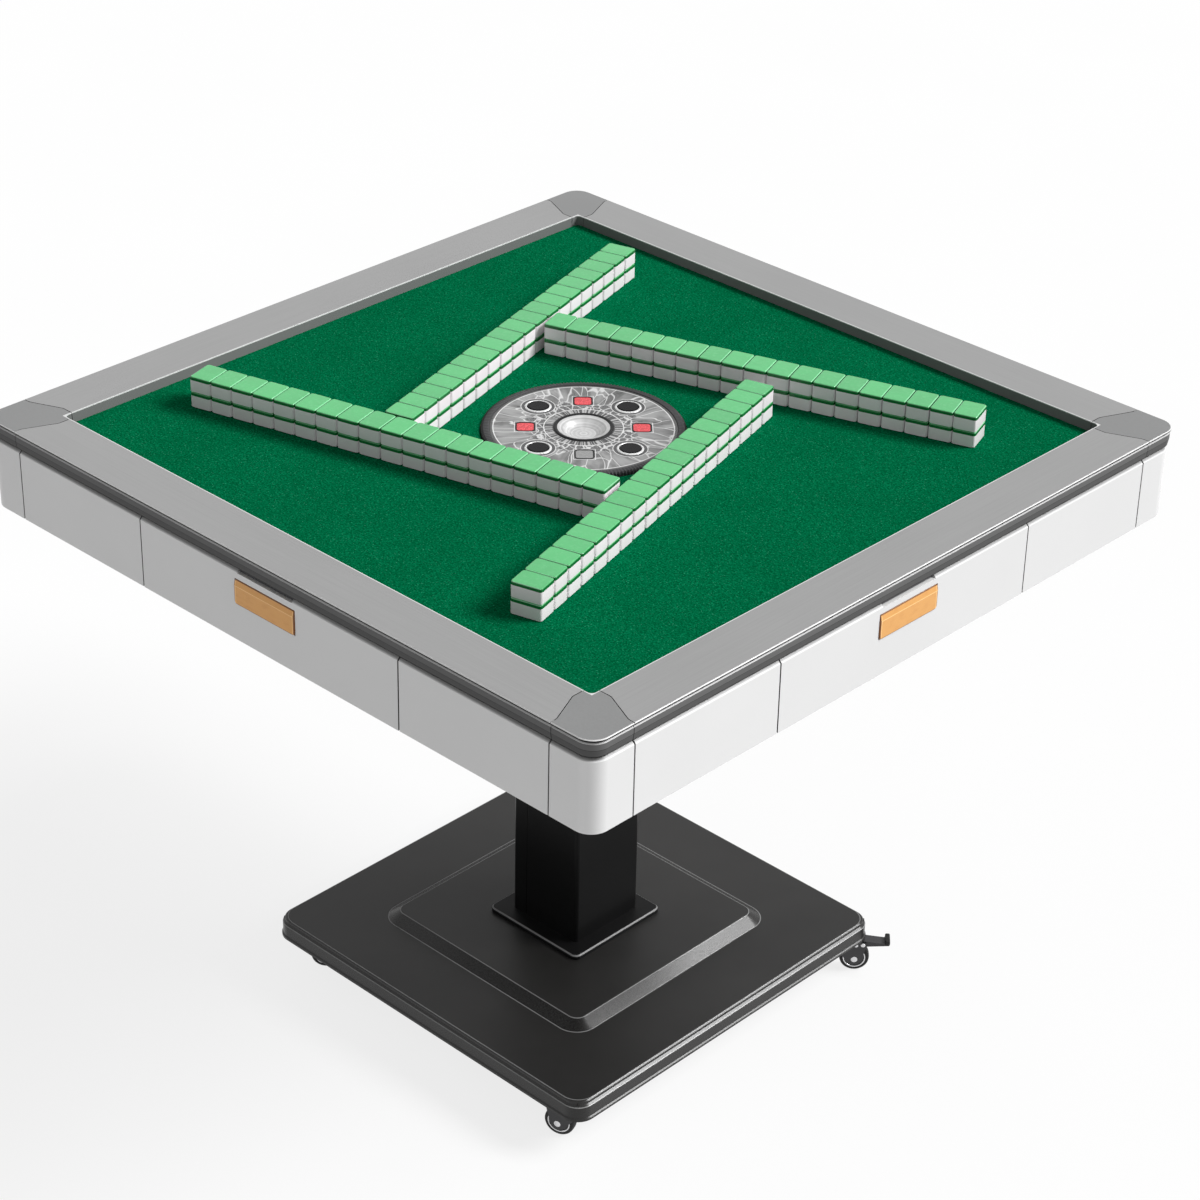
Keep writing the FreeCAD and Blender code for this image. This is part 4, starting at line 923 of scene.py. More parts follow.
@dataclass(frozen=True)
class SpunSilver(Finish):
    """Spun or plated metal: fine rings, and radial glints about the upright axis painted into its colour."""

    metallic: float = 0.9
    rings: float = 700.0
    glint: float = 0.6

    def paint(self, graph: Graph) -> bpy.types.Material:
        """Noise on the distance from the middle makes rings; noise on the angle makes the painted glints.

        Args:
            graph: the material's nodes.

        Returns:
            The material.
        """
        x, y, _ = graph.axes()
        flat = graph.joined(x, y)
        ring = graph.noise(graph.joined(graph.length(flat)), scale=self.rings, detail=2.0)
        glint = graph.noise(graph.way(flat), scale=3.0, detail=3.0)
        # Painted highlight: the glints, as tone changes round the axis
        tone = graph.blend(ring, glint, self.glint)
        base = self.tinted(graph, graph.span(tone, 0.35, 0.65), 0.72, 1.15)
        graph.bump(ring, strength=0.1, distance=0.00005)
        gloss = self.polish(graph, ring, more=0.06)
        return graph.shade(Base_Color=base, Roughness=gloss, Metallic=self.metallic)


@dataclass(frozen=True)
class LampRed(Finish):
    """Clear red windows; the one at the near right corner is dark."""

    off: Colour = (0.3, 0.3, 0.3)

    def paint(self, graph: Graph) -> bpy.types.Material:
        """The window with x above and y below the middle takes the unlit tint.

        Args:
            graph: the material's nodes.

        Returns:
            The material.
        """
        x, y, _ = graph.axes()
        near = graph.math("MULTIPLY", graph.ramp(x, -1, 1), graph.ramp(y, -1, 1, 1.0, 0.0))
        cell = graph.noise(graph.place(), scale=420.0, detail=2.0)
        red = self.tinted(graph, graph.span(cell, 0.35, 0.65), 0.85, 1.15)
        base = graph.mix(near, red, self.off)
        return graph.shade(Base_Color=base, Roughness=self.polish(graph, cell, 0.04, 0.06),
                           Specular_IOR_Level=0.2, Coat_Weight=0.1, Coat_Roughness=0.08)


@dataclass(frozen=True)
class RawBoard(Finish):
    """Pressed board: chips and dust in wood tones."""

    def paint(self, graph: Graph) -> bpy.types.Material:
        """Stretched noise gives chips, and fine noise dust between them.

        Args:
            graph: the material's nodes.

        Returns:
            The material.
        """
        chip = graph.noise(graph.place((120.0, 300.0, 300.0)), scale=1.0, detail=3.0)
        dust = graph.noise(graph.place(), scale=1200.0, detail=2.0)
        base = self.tinted(graph, graph.span(chip, 0.35, 0.65), 0.65, 1.2)
        base = graph.mix(graph.span(dust, 0.5, 0.8, 0.0, 0.4), base, scaled(self.colour, 0.5))
        graph.bump(chip, strength=0.3, distance=0.0002)
        return graph.shade(Base_Color=base, Roughness=self.roughness, Specular_IOR_Level=0.2)


RAIL_X = RailGrey("rail_brushed_x", (0.325, 0.325, 0.325), 0.4, grain=Grain.ALONG_X)
RAIL_Y = RailGrey("rail_brushed_y", (0.325, 0.325, 0.325), 0.4, grain=Grain.ALONG_Y)
CAP = RailGrey("corner_cap_grey", (0.245, 0.247, 0.247), 0.42)
FELT = Nap("felt_green", (0.0, 0.125, 0.047), 0.95)
SKIRT = Panelled("skirt_white", (0.66, 0.66, 0.66), 0.36, grain=900.0, spread=0.015)
DRAWER = Panelled("drawer_white", (0.655, 0.655, 0.655), 0.36, grain=900.0, spread=0.015)
AMBER = Amber("handle_amber", (0.7, 0.35, 0.1), 0.32)
TILE = TilePolish("tile_polish", (0.99, 0.915, 0.955), 0.22)
RING = Moulded("disc_ring_black", (0.045, 0.045, 0.047), 0.42, grain=1500.0, specular=0.25)
PLATE = DiscPrint("disc_print", (0.225, 0.225, 0.225), 0.34)
BOWL = SpunSilver("bowl_silver", (0.62, 0.62, 0.62), 0.34, metallic=0.3, rings=420.0, glint=0.2)
RIM = Moulded("bowl_rim_black", (0.016, 0.016, 0.017), 0.4, grain=1500.0, specular=0.16)
BEZEL = SpunSilver("bezel_silver", (0.8, 0.8, 0.8), 0.3, metallic=0.2, glint=0.2)
LAMP = LampRed("lamp_red", (0.74, 0.075, 0.09), 0.25)
BUTTON = Moulded("button_black", (0.01, 0.01, 0.011), 0.24, depth=0.00001, specular=0.07)
# STAND and COLUMN draw painted highlights as light lines on their edges and ledge
STAND = Pressed("stand_black", (0.014, 0.0135, 0.013), 0.27, grain=1300.0, depth=0.000002, spread=0.3,
                specular=0.34, edges=((145, 159, 0.6, 80), (145, 174.2, 0.6, 75), (237.8, 261.6, 0.55, 74.8)),
                ledges=(68.5,))
COLUMN = Pressed("column_black", (0.005, 0.005, 0.0052), 0.34, grain=1100.0, spread=0.2, specular=0.14,
                 edges=((67.5, 75.2, 0.8, 88),))
FORK = Moulded("caster_dark_steel", (0.045, 0.045, 0.047), 0.36, spread=0.2, metallic=0.4)
TYRE = Moulded("caster_tyre", (0.014, 0.014, 0.014), 0.55, grain=900.0, spread=0.2, specular=0.25)
HUB = Moulded("caster_hub", (0.05, 0.05, 0.052), 0.4, spread=0.15)
BRIGHT = SpunSilver("plated_bright", (0.7, 0.7, 0.71), 0.2, metallic=0.8)
STEEL = SpunSilver("plated_steel", (0.5, 0.5, 0.51), 0.3)
CHASSIS = Moulded("chassis_powder", (0.09, 0.09, 0.095), 0.5, grain=1500.0, spread=0.1)
MOULDING = Moulded("drum_moulding", (0.16, 0.16, 0.17), 0.45, spread=0.1)
BLACK = Moulded("black_moulding", (0.03, 0.03, 0.031), 0.42, spread=0.15)
BOARD = RawBoard("deck_board_raw", (0.62, 0.5, 0.36), 0.8)


# Frame nodes that stay

# Each node's name, its finish and the width of its rounded edges, in millimetres
WORKS: tuple[tuple[str, Finish, float], ...] = (
    ("disc_plate", PLATE, 0.2), ("seat_lamps", LAMP, 0.5), ("lift_post", STEEL, 0.4),
    ("lift_guide", CHASSIS, 0.4), ("deck_board", BOARD, 0.4), ("chassis_frame", CHASSIS, 0.6),
    ("bottom_pan", CHASSIS, 0.4), ("drawer_runners", CHASSIS, 0.4), ("shuffle_drum", MOULDING, 0.5),
    ("drum_pinion", BLACK, 0.3), ("drum_motor", CHASSIS, 0.5), ("control_box", BLACK, 0.6),
    ("mains_inlet", BLACK, 0.4), ("column", COLUMN, 0.7), ("base_plate", STAND, 0.7))


@dataclass
class FrameDress:
    """The frame's own nodes that stay: each gets a soft edge, even shading and a finish.

    The angles are in degrees: edges over sharp keep their crease, edges over rounded are bevelled,
    and faces within flat of one plane are joined.
    """

    sharp: float = 28.0
    rounded: float = 32.0
    flat: float = 0.4
    shading: bpy.types.NodeTree | None = None

    def even_shading(self) -> bpy.types.NodeTree:
        """Nodes that shade all faces smooth and keep the sharp edges.

        Returns:
            The node group for a modifier.
        """
        tree = bpy.data.node_groups.new("even_shading", "GeometryNodeTree")
        tree.interface.new_socket("Geometry", in_out="INPUT", socket_type="NodeSocketGeometry")
        tree.interface.new_socket("Geometry", in_out="OUTPUT", socket_type="NodeSocketGeometry")
        source, target = tree.nodes.new("NodeGroupInput"), tree.nodes.new("NodeGroupOutput")
        faces = tree.nodes.new("GeometryNodeSetShadeSmooth")
        edges = tree.nodes.new("GeometryNodeSetShadeSmooth")
        edges.domain = "EDGE"
        angle = tree.nodes.new("GeometryNodeInputMeshEdgeAngle")
        blunt = tree.nodes.new("FunctionNodeCompare")
        blunt.operation = "LESS_THAN"
        blunt.inputs[1].default_value = np.radians(self.sharp)
        tree.links.new(source.outputs[0], faces.inputs["Geometry"])
        tree.links.new(faces.outputs[0], edges.inputs["Geometry"])
        tree.links.new(angle.outputs["Unsigned Angle"], blunt.inputs[0])
        tree.links.new(blunt.outputs[0], edges.inputs["Shade Smooth"])
        tree.links.new(edges.outputs[0], target.inputs[0])
        return tree

    def dress(self, name: str, finish: Finish, edge: float) -> None:
        """Gives one node its finish and rounds its edges by modifiers.

        Args:
            name: the node.
            finish: its finish.
            edge: the width of the rounded edges, in millimetres.
        """
        made = bpy.data.objects[name]
        made.data.materials.clear()
        made.data.materials.append(finish.material())
        weld = made.modifiers.new("weld", "WELD")
        weld.merge_threshold = 1e-6
        plain = made.modifiers.new("plain_faces", "DECIMATE")
        plain.decimate_type = "DISSOLVE"
        plain.angle_limit = np.radians(self.flat)
        soft = made.modifiers.new("soft_edges", "BEVEL")
        soft.width = edge * MM
        soft.segments = 2
        soft.limit_method = "ANGLE"
        soft.angle_limit = np.radians(self.rounded)
        self.shading = self.shading or self.even_shading()
        made.modifiers.new("even_shading", "NODES").node_group = self.shading
        weigh_shading(made)
        LOG.info("%s: dressed as %s", name, finish.name)

    def build(self) -> None:
        """Dresses the rails, caps, skirt, drawers, disc, works, stand and casters."""
        for side in Side:
            rail = RAIL_X if side in (Side.FRONT, Side.BACK) else RAIL_Y
            self.dress(f"rail_{side.label}", rail, 0.5)
            self.dress(f"skirt_panels_{side.label}", SKIRT, 0.5)
            self.dress(f"drawer_{side.label}", DRAWER, 0.5)
            self.dress(f"button_{side.label}", BUTTON, 1.0)
        for corner in Corner:
            self.dress(f"corner_cap_{corner.label}", CAP, 0.5)
            self.dress(f"skirt_corner_{corner.label}", SKIRT, 0.5)
            self.dress(f"caster_fork_{corner.label}", FORK, 0.4)
            if corner.braked:
                self.dress(f"brake_lever_{corner.label}", FORK, 0.5)
        for name, finish, edge in WORKS:
            self.dress(name, finish, edge)


# Playing surface

@dataclass
class PlayingCloth:
    """The green cloth stretched on the deck, cut out for the control disc."""

    half: float = 419.2
    corner: float = 5.7
    hole: float = 119.5
    low: float = 761.0
    top: float = 762.0

    def build(self) -> None:
        """A strip from the hole's circle to the round-cornered square, closed underneath.

        Each point of the square has a point of the circle at the same angle; the first parameter
        goes round, and the second goes up the hole's edge, out to the square and back below.
        """
        outer = rounded_outline(self.half, self.half, self.corner, arc=6, spacing=9.0)
        angle = np.arctan2(outer[:, 1], outer[:, 0])
        inner = self.hole * np.stack([np.cos(angle), np.sin(angle)], -1)
        out = np.array([0.0, 0.0, 0.25, 0.5, 0.75, 1.0, 1.0])[None, :, None]
        level = np.array([self.low] + [self.top] * 5 + [self.low])[None, :, None]
        flat = inner[:, None] * (1 - out) + outer[:, None] * out
        shell = Shell("felt").grid(levelled(flat, level) * MM, wrap_v=True)
        made = shell.build([FELT], "table", "cloth", ("playing_cloth",))


@dataclass
class TileWall:
    """A double wall of tiles, face down: nineteen stacks of two."""

    side: Side
    x: float
    y: float
    turn: float
    stacks: int = 19
    width: float = 28.8
    length: float = 38.5
    height: float = 19.8
    floor: float = 762.0
    edge: float = 3.0
    gap: float = 0.35
    askew: float = 0.14
    seed: int = 40

    def build(self) -> None:
        """All tiles at once: a round-cornered outline carried up the five levels of one tile.

        The outline shrinks at the lowest and highest levels to round the edges. The mark tile_level
        keeps each point's share of the height, and tile_flank its share of the way to the long sides.
        """
        share = np.array([0.0, 0.06, 0.925, 0.978, 1.0])
        inset = np.array([1.2, 0.0, 0.0, 0.55, 1.7])
        half_x, half_y = self.width / 2 - self.gap, self.length / 2 - self.gap
        rings = [rounded_outline(half_x - cut, half_y - cut, max(self.edge - cut / 2, 0.4), arc=2)
                 for cut in inset]
        tile = levelled(np.stack(rings, 1), share[None, :, None] * self.height)
        pick = np.random.default_rng(self.seed + self.side.value)
        count = self.stacks * 2
        along = (np.arange(self.stacks) - (self.stacks - 1) / 2) * self.width
        place = np.stack([np.tile(along, 2), np.zeros(count), np.repeat([0, self.height], self.stacks)], -1)
        place[:, :2] += pick.uniform(-self.askew, self.askew, (count, 2))
        wall = tile[None] + place[:, None, None]
        wall = turned_about_z(wall, np.radians(self.turn)) + (self.x, self.y, self.floor)
        tone = pick.uniform(0, 1, (count, 1, 1))
        shell = Shell(f"tiles_{self.side.label}")
        flank = np.abs(tile[None, ..., 0]) / half_x
        shell.grid(wall * MM, cap=True, tile_level=share[None, None, :], tile_tone=tone,
                   tile_flank=flank)
        shell.build([TILE], f"{self.side.label}_tiles", "tile", (f"tile_wall_{self.side.label}",),
                    crease=50)


# Drawers

@dataclass
class DrawerHandle:
    """The amber plate let into a drawer's front, with a sloped band above a fine ridge."""

    side: Side
    width: float = 96.4
    low: float = 709.0
    high: float = 739.4
    corner: float = 4.0
    face: float = 484.1
    seat: float = 480.3
    ridge: float = 8.0
    slope: float = 1.3
    round: float = 1.1
    ridge_rise: float = 0.18
    ridge_wide: float = 0.45
    border_sink: float = 0.12
    border_wide: float = 0.3
    border_in: float = 2.0

    def build(self) -> None:
        """A front y(x, z) over a round-cornered plate, with its rim carried back to the seat.

        The row at height z is as wide as the round corners leave it. The depth is the flat face,
        less the band's slope above the ridge, less a quarter round near the rim, less a thin border
        line, plus a thin ridge.
        """
        tall = self.high - self.low
        near = np.array([0.0, 0.0, 0.12, 0.35, 0.7, 1.1, 1.6, 2.0, 2.4, 3.2, 4.0])
        crest = tall - self.ridge + np.array([-1.0, -0.5, -0.2, 0.0, 0.2, 0.5, 1.0])
        up = np.concatenate([near, np.linspace(6, crest[0] - 1, 6), crest, tall - near[::-1]])
        middle = np.linspace(-0.9, 0.9, 19)
        edge_gap = np.minimum(up, tall - up)
        reach = self.width / 2 - quarter_round(edge_gap, self.corner)
        left = near[:, None] - reach[None]
        centre = middle[:, None] * (reach[None] - near[-1])
        x = np.concatenate([left, centre, -left[::-1]])
        z = np.broadcast_to(up, x.shape)
        gap = self.rim_gap(x, z - tall / 2, tall / 2)
        over = np.maximum(z - (tall - self.ridge), 0) / self.ridge * self.slope
        line = self.ridge_rise * np.exp(-((z - tall + self.ridge) / self.ridge_wide) ** 2)
        border = -self.border_sink * np.exp(-((gap - self.border_in) / self.border_wide) ** 2)
        y = -self.face + quarter_round(gap, self.round) + over - np.minimum(line + border, gap)
        y[0], y[-1], y[:, 0], y[:, -1] = (-self.seat,) * 4
        surface = np.stack([x, y, z + self.low], -1)
        back = surface.copy()
        back[..., 1] = -self.seat
        shell = Shell(f"handle_{self.side.label}")
        shell.grid(self.side.turned(surface * MM), wrap_u=False)
        shell.grid(self.side.turned(back[::-1] * MM), wrap_u=False)
        name = self.side.label
        shell.build([AMBER], f"{name}_drawer", "handle", (f"drawer_handle_{name}",), crease=50)

    def rim_gap(self, x: np.ndarray, z: np.ndarray, half: float) -> np.ndarray:
        """How far points lie inside the plate's round-cornered rim.

        Args:
            x: places across, from the middle.
            z: places up, from the middle.
            half: half the plate's height.

        Returns:
            The distances, which are zero on the rim.
        """
        over_x = np.abs(x) - (self.width / 2 - self.corner)
        over_z = np.abs(z) - (half - self.corner)
        outside = np.hypot(np.maximum(over_x, 0), np.maximum(over_z, 0))
        inside = np.minimum(np.maximum(over_x, over_z), 0)
        return np.maximum(self.corner - outside - inside, 0)


# Control disc

@dataclass
class ControlDisc:
    """The centre disc's fine pieces: ribbed ring, dice bowl, button rings and lamp frames."""

    ribs: int = 180
    ring_in: float = 108.5
    ring_out: float = 118.5
    ring_low: float = 757.0
    ring_top: float = 767.0
    rib_depth: float = 1.5
    rib_drop: float = 2.4
    plate_top: float = 766.0
    bowl: float = 31.4
    bowl_rim: float = 35.0
    bowl_top: float = 767.5
    bowl_floor: float = 13.0
    bowl_wall: float = 1.2
    button_circle: float = 74.0
    lamp_circle: float = 67.0
    lamp_half: float = 10.0
    lamp_corner: float = 4.0

    def ring(self) -> None:
        """A ring section carried round, its outer wall and top edge waved by the ribs' cosine."""
        profile = np.array([
            (self.ring_in, self.ring_low), (self.ring_out, self.ring_low), (self.ring_out, self.ring_top - 2.2),
            (self.ring_out - 0.5, self.ring_top - 1.2), (self.ring_out - 2.2, self.ring_top - 0.2),
            (self.ring_out - 3.2, self.ring_top), (self.ring_in + 1.2, self.ring_top),
            (self.ring_in + 0.4, self.ring_top - 0.3), (self.ring_in, self.ring_top - 0.9)])
        surface = revolved(profile, steps=self.ribs * 4)
        wave = 0.5 - 0.5 * np.cos(np.arange(self.ribs * 4) * np.pi / 2)
        outer = np.array([0, 1, 1, 1, 0.5, 0, 0, 0, 0])
        crest = np.array([0, 0, 0.6, 0.9, 1, 0.4, 0, 0, 0])
        shrink = 1 - self.rib_depth * wave[:, None] * outer / profile[:, 0]
        surface[..., :2] *= shrink[..., None]
        surface[..., 2] -= self.rib_drop * wave[:, None] * crest
        shell = Shell("ribbed_ring").grid(surface * MM, wrap_v=True)
        shell.build([RING], "control_disc", "disc_ring", ("disc_ring",), crease=60)

    def dice_bowl(self) -> None:
        """A thin bowl: a cosine curve from its floor to its rim, revolved, with the wall's underside."""
        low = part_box("dice_bowl")[0][2] / MM
        floor, deep = self.bowl_floor, low + self.bowl_wall
        share = np.linspace(0, 1, 14)
        radius = floor + (self.bowl - 0.9 - floor) * share
        level = deep + (self.plate_top + 0.4 - deep) * (0.5 - 0.5 * np.cos(np.pi * share)) ** 0.9
        inside = np.concatenate([[(0, deep), (floor * 0.6, deep)], np.stack([radius, level], -1)])
        rim = np.array([(self.bowl + 0.8, self.bowl_top - 0.2), (self.bowl + 1.8, self.bowl_top),
                        (self.bowl_rim - 0.7, self.bowl_top - 0.25), (self.bowl_rim, self.bowl_top - 0.9),
                        (self.bowl_rim, self.plate_top), (self.bowl, self.plate_top)])
        under = np.stack([radius[::-1] + 0.8, np.maximum(level[::-1] - self.bowl_wall, low)], -1)[1:]
        profile = np.concatenate([inside, rim, under, [(0, low)]])
        slot = np.where(np.arange(len(profile) - 1) < len(inside) - 1, 0, 1)
        shell = Shell("spun_bowl").grid(revolved(profile, steps=96) * MM, slot=slot)
        shell.build([BOWL, RIM], "control_disc", "bowl", ("dice_bowl",))

    def button_rings(self) -> None:
        """Four rings of half-round section about the buttons' bores."""
        profile = np.array([(13.05, 0), (13.05, 0.6), (13.4, 0.95), (14.0, 1.0), (14.9, 0.8),
                            (15.6, 0.4), (15.8, 0)])
        surface = revolved(profile + (0, self.plate_top), steps=64)
        turn = np.arange(4)[:, None, None, None] * np.pi / 2
        middle = self.button_circle * np.concatenate([np.cos(turn), np.sin(turn), 0 * turn], -1)
        shell = Shell("button_rings").grid((surface[None] + middle) * MM, wrap_v=True)
        shell.build([BEZEL], "control_disc", "steel")

    def lamp_frames(self) -> None:
        """Four thin frames: a low section carried round a round-cornered square, on the diagonals."""
        offset = np.array([0.1, 0.1, 0.4, 1.2, 1.5, 1.5])
        level = self.plate_top + np.array([0, 0.45, 0.6, 0.6, 0.4, 0])
        rings = [rounded_outline(self.lamp_half + step, self.lamp_half + step, self.lamp_corner + step, arc=5)
                 for step in offset]
        one = levelled(np.stack(rings, 1), level[None, :, None]) + (self.lamp_circle, 0, 0)
        four = turned_about_z(one, (np.arange(4) + 0.5)[:, None, None] * np.pi / 2)
        shell = Shell("lamp_frames").grid(four * MM, wrap_v=True)
        shell.build([RIM], "control_disc", "disc_ring")

    def build(self) -> None:
        """Builds the disc's pieces in order."""
        self.ring()
        self.dice_bowl()
        self.button_rings()
        self.lamp_frames()


# Casters

@dataclass
class Caster:
    """One caster's wheel, the rivet heads on its fork and the toe pad on its lever."""

    corner: Corner
    inset: float = 236.6
    trail: float = 21.0
    axle: float = 19.0
    tyre: float = 19.0
    width: float = 14.0
    bore: float = 3.15
    cheek: float = 10.7
    pin_reach: float = 31.0
    pin_level: float = 41.5
    toe_reach: float = 31.0
    toe_rise: float = 3.2

    def placed(self, points: np.ndarray) -> np.ndarray:
        """Points of a caster that trails along x from its stem, turned and moved to its corner.

        Args:
            points: coordinates in the last dimension, in millimetres.

        Returns:
            The points in the table's place, in metres.
        """
        sign_x, sign_y, turn = self.corner.value
        stem = (sign_x * self.inset, sign_y * self.inset, 0)
        return (turned_about_z(points, np.radians(turn)) + stem) * MM

    def across(self, profile: np.ndarray, steps: int, reach: float, level: float) -> np.ndarray:
        """A profile carried round a cross axle: (r, a) goes to (r cos t, a, r sin t) about it.

        Args:
            profile: radius, and place along the axle, of each point.
            steps: points round the axle.
            reach: the axle's distance from the stem.
            level: the axle's height.

        Returns:
            The grid in the corner's place.
        """
        spun = revolved(profile, steps=steps)
        spun = np.stack([spun[..., 0] + reach, spun[..., 2], spun[..., 1] + level], -1)
        return self.placed(spun)

    def wheel(self) -> None:
        """Tyre, bright rim and hub in one section, mirrored about the middle and closed in the bore."""
        half = np.array([(self.bore, 6.6), (5.6, 6.6), (6.0, 6.2), (6.4, 5.2), (10.2, 5.0), (12.2, 5.2),
                         (12.6, 5.9), (13.0, 6.5), (14.2, 6.6), (14.6, 6.2), (14.9, 6.9),
                         (16.4, self.width / 2), (17.6, 6.5), (18.5, 5.3), (18.9, 3.4), (self.tyre, 1.2)])
        profile = np.concatenate([half, half[::-1] * (1, -1)])
        face = np.array([2] * 6 + [1] * 3 + [0] * 6)
        slot = np.concatenate([face, [0], face[::-1], [2]])
        shell = Shell(f"wheel_{self.corner.label}")
        shell.grid(self.across(profile, 64, self.trail, self.axle), wrap_v=True, slot=slot)
        name = self.corner.label
        shell.build([TYRE, BRIGHT, HUB], f"{name}_wheel", "tyre", (f"caster_wheel_{name}",), crease=45)

    def rivets(self) -> None:
        """Domed heads on the axle's ends, and on the brake pin's ends where there is a lever."""
        shell = Shell(f"rivets_{self.corner.label}")
        rise = np.array([(0, 1.3), (0.35, 1.2), (0.7, 0.8), (0.95, 0.3), (1.0, 0.0), (0, 0.0)])
        spots = [(self.trail, self.axle, 4.2)]
        if self.corner.braked:
            spots += [(self.pin_reach, self.pin_level, 3.0), (self.pin_reach - 8.5, self.pin_level - 1, 2.6)]
        for reach, level, size in spots:
            for way in (1, -1):
                profile = np.stack([rise[:, 0] * size, way * (self.cheek + rise[:, 1])], -1)
                shell.grid(self.across(profile, 24, reach, level))
        shell.build([BRIGHT], f"{self.corner.label}_caster", "steel")

    def pad(self) -> None:
        """The lever's ribbed toe pad: a round-cornered section carried across, drawn in at both ends.

        The section lies in the lever's length and height, about the raised tab. Its height is waved
        across the pad by a cosine for the ribs.
        """
        across = np.array([-9.8, -9.6, -8.9, *np.linspace(-8, 8, 33), 8.9, 9.6, 9.8])
        shrink = np.interp(np.abs(across), [8, 8.9, 9.6, 9.8], [1, 0.94, 0.78, 0.6])
        section = rounded_outline(3.1, 3.4, 1.6, arc=5)
        ribs = 1 - 0.07 * (0.5 - 0.5 * np.cos(across * np.pi)) * (np.abs(across) < 8)
        reach = section[:, :1] * shrink + self.pin_reach + self.toe_reach
        level = section[:, 1:] * shrink * ribs + self.pin_level + self.toe_rise
        points = np.stack(np.broadcast_arrays(reach, across, level), -1)
        shell = Shell(f"lever_pad_{self.corner.label}").grid(self.placed(points), cap=True)
        shell.build([TYRE], f"{self.corner.label}_brake", "black_plastic")

    def build(self) -> None:
        """Builds the wheel, the rivet heads and the lever's pad."""
        self.wheel()
        self.rivets()
        if self.corner.braked:
            self.pad()


@dataclass
class Fixings:
    """Bolt heads under the column's head plate and screws round the pan's underside."""

    plate_low: float = 665.0
    plate_spot: float = 92.0
    pan_low: float = 671.0
    pan_spot: float = 455.0
    bolt: float = 8.0
    screw: float = 4.5

    def heads(self, spots: np.ndarray, level: float, size: float, sides: int, name: str) -> None:
        """Low heads with a chamfer, hanging from a face: one section carried round each spot.

        Args:
            spots: the places, (n, 2).
            level: the height of the face above.
            size: the head's radius.
            sides: points round the head, six for a hexagon.
            name: the piece's name.
        """
        profile = np.array([(0, 0), (1.0, 0), (1.0, -0.45), (0.86, -0.62), (0.4, -0.66), (0, -0.66)]) * size
        stack = revolved(profile, steps=sides)[None] + levelled(spots, level)[:, None, None]
        Shell(name).grid(stack * MM).build([STEEL], "table", "steel", crease=25)

    def build(self) -> None:
        """Four bolts in the head plate, and sixteen screws in the pan."""
        self.heads(QUARTERS * self.plate_spot, self.plate_low, self.bolt, 6, "head_bolts")
        run = np.array([-300.0, -130.0, 130.0, 300.0])
        edge = np.full(4, self.pan_spot)
        pairs = ((run, edge), (run, -edge), (edge, run), (-edge, run))
        spots = np.concatenate([np.stack(pair, -1) for pair in pairs])
        self.heads(spots, self.pan_low, self.screw, 20, "pan_screws")


# Stage

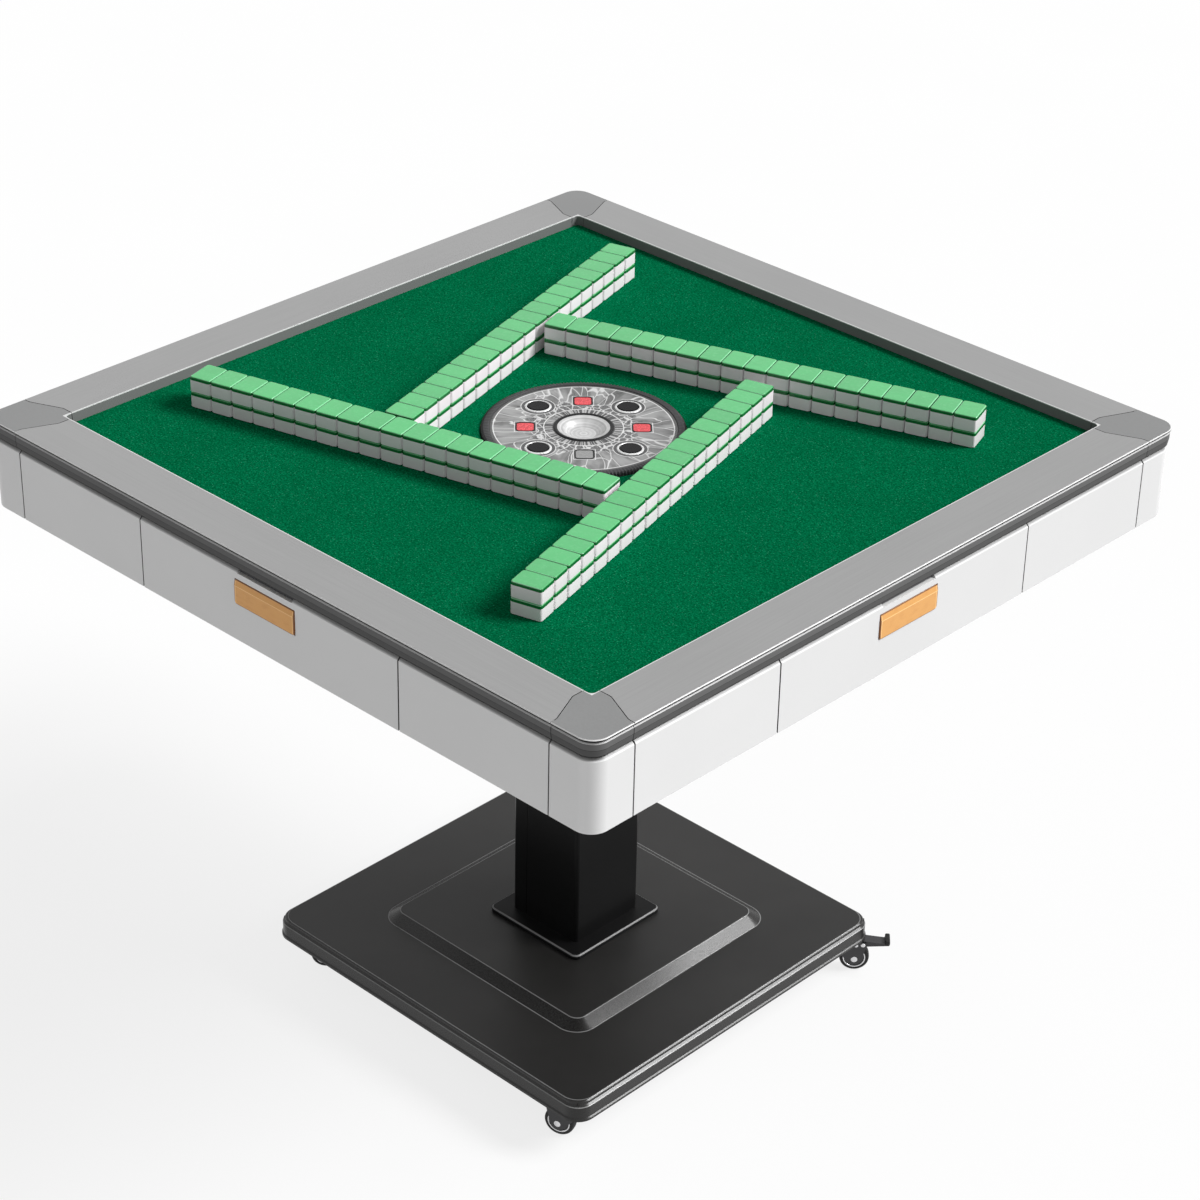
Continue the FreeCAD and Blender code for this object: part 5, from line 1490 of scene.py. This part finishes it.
@dataclass
class Stage:
    """A pale floor, a soft light from the right and a weak one from behind, an even surround and the camera."""

    floor_reach: float = 30.0
    floor_tone: float = 0.9
    glow: float = 0.8
    key: float = 3.1
    key_from: tuple[float, float, float] = (0.58, 0.52, 0.63)
    key_spread: float = 22.0
    back: float = 0.55
    back_from: tuple[float, float, float] = (0.338, 0.598, 0.727)
    back_spread: float = 8.0
    surround: float = 0.33
    azimuth: float = 43.357
    elevation: float = 30.2055
    roll: float = 1.2504
    lens: float = 93.394
    eye: tuple[float, float, float] = (2.2052, -2.3019, 2.3928)
    sight: float = 100.0

    def floor(self) -> None:
        """A flat grid far wider than the object: a pale mottle that keeps the shadow, under a white glow."""
        run = np.linspace(-self.floor_reach, self.floor_reach, 3)
        x, y = np.meshgrid(run, run, indexing="ij")
        mesh = bpy.data.meshes.new("floor")
        faces = [[0, 3, 4, 1], [1, 4, 5, 2], [3, 6, 7, 4], [4, 7, 8, 5]]
        mesh.from_pydata(np.stack([x, y, 0 * x], -1).reshape(-1, 3), [], faces)
        made = bpy.data.objects.new("floor", mesh)
        bpy.context.scene.collection.objects.link(made)
        graph = Graph("floor_pale")
        tone = graph.span(graph.noise(graph.place(), scale=2.0, detail=2.0), *NOISE)
        low, high = (self.floor_tone - 0.01,) * 3, (self.floor_tone + 0.01,) * 3
        graph.shade(Base_Color=graph.mix(tone, low, high), Roughness=0.9, Specular_IOR_Level=0.0)
        share = graph.math("MULTIPLY", self.seen(graph.tree), self.glow)
        white = graph.node("ShaderNodeEmission", {"Color": (1.0, 1.0, 1.0), "Strength": 1.0}).outputs[0]
        both = graph.node("ShaderNodeMixShader", {0: share, 1: graph.shader.outputs[0], 2: white}).outputs[0]
        graph.put(graph.tree.nodes["Material Output"].inputs["Surface"], both)
        mesh.materials.append(graph.material)

    def seen(self, tree: bpy.types.NodeTree) -> Socket:
        """One for rays from the eye, a mirror or glass, and zero for the rays that light the object.

        Args:
            tree: the nodes to add to.

        Returns:
            The output that holds the number.
        """
        path = tree.nodes.new("ShaderNodeLightPath")
        seen = path.outputs["Is Camera Ray"]
        for name in ("Is Glossy Ray", "Is Transmission Ray"):
            step = tree.nodes.new("ShaderNodeMath")
            step.operation = "MAXIMUM"
            tree.links.new(path.outputs[name], step.inputs[0])
            tree.links.new(seen, step.inputs[1])
            seen = step.outputs[0]
        return seen

    def lamp(self, name: str, strength: float, source: tuple[float, float, float], spread: float) -> None:
        """A distant wide lamp.

        Args:
            name: its name.
            strength: its strength.
            source: the way to it from the object.
            spread: how wide it looks, in degrees, which softens its shadows.
        """
        lamp = bpy.data.lights.new(name, "SUN")
        lamp.energy = strength
        lamp.angle = np.radians(spread)
        made = bpy.data.objects.new(name, lamp)
        bpy.context.scene.collection.objects.link(made)
        way = np.array(source) / np.linalg.norm(source)
        made.rotation_euler = (np.arccos(way[2]), 0.0, np.arctan2(way[0], -way[1]))

    def light(self) -> None:
        """Two wide lamps for soft shadows, and a surround that is white where it is seen or mirrored."""
        self.lamp("soft_key", self.key, self.key_from, self.key_spread)
        self.lamp("soft_back", self.back, self.back_from, self.back_spread)
        world = bpy.data.worlds.new("surround")
        bpy.context.scene.world = world
        world.use_nodes = True
        tree = world.node_tree
        tree.nodes.clear()
        even, white = tree.nodes.new("ShaderNodeBackground"), tree.nodes.new("ShaderNodeBackground")
        for background, strength in ((even, self.surround), (white, 1.0)):
            background.inputs["Color"].default_value = (1, 1, 1, 1)
            background.inputs["Strength"].default_value = strength
        mix, out = tree.nodes.new("ShaderNodeMixShader"), tree.nodes.new("ShaderNodeOutputWorld")
        tree.links.new(self.seen(tree), mix.inputs[0])
        tree.links.new(even.outputs[0], mix.inputs[1])
        tree.links.new(white.outputs[0], mix.inputs[2])
        tree.links.new(mix.outputs[0], out.inputs[0])

    def camera(self) -> None:
        """The eye, turned by azimuth and elevation and rolled about its own axis."""
        azimuth, elevation, roll = np.radians((self.azimuth, self.elevation, self.roll))
        back = np.array([np.sin(azimuth) * np.cos(elevation), -np.cos(azimuth) * np.cos(elevation),
                         np.sin(elevation)])
        right = np.array([np.cos(azimuth), np.sin(azimuth), 0.0])
        up = np.cross(back, right)
        level = np.cos(roll) * right + np.sin(roll) * up
        upright = np.cos(roll) * up - np.sin(roll) * right
        turn = np.eye(4)
        turn[:3, :4] = np.stack([level, upright, back, self.eye], -1)
        lens = bpy.data.cameras.new("viewpoint")
        lens.lens = self.lens
        lens.clip_end = self.sight
        made = bpy.data.objects.new("viewpoint", lens)
        bpy.context.scene.collection.objects.link(made)
        made.matrix_world = Matrix(turn.tolist())
        bpy.context.scene.camera = made

    def build(self) -> None:
        """Sets the floor, the light, the camera and the plain view transform."""
        self.floor()
        self.light()
        self.camera()
        bpy.context.scene.view_settings.view_transform = "Standard"


# Each wall's side, the place of its middle and its turn in degrees
WALLS: tuple[tuple[Side, float, float, float], ...] = (
    (Side.FRONT, -99, -196, 15.1), (Side.RIGHT, 182, -84, 105.4),
    (Side.BACK, 77, 217, 19), (Side.LEFT, -194.2, 84.2, 106))


def main() -> None:
    """Builds the sub-assemblies in order, then the stage."""
    logging.basicConfig(level=logging.INFO, format="%(message)s")
    Stage().build()
    FrameDress().build()
    PlayingCloth().build()
    for wall in WALLS:
        TileWall(*wall).build()
    for side in Side:
        DrawerHandle(side).build()
    ControlDisc().build()
    for corner in Corner:
        Caster(corner).build()
    Fixings().build()


if __name__ == "__main__":
    main()
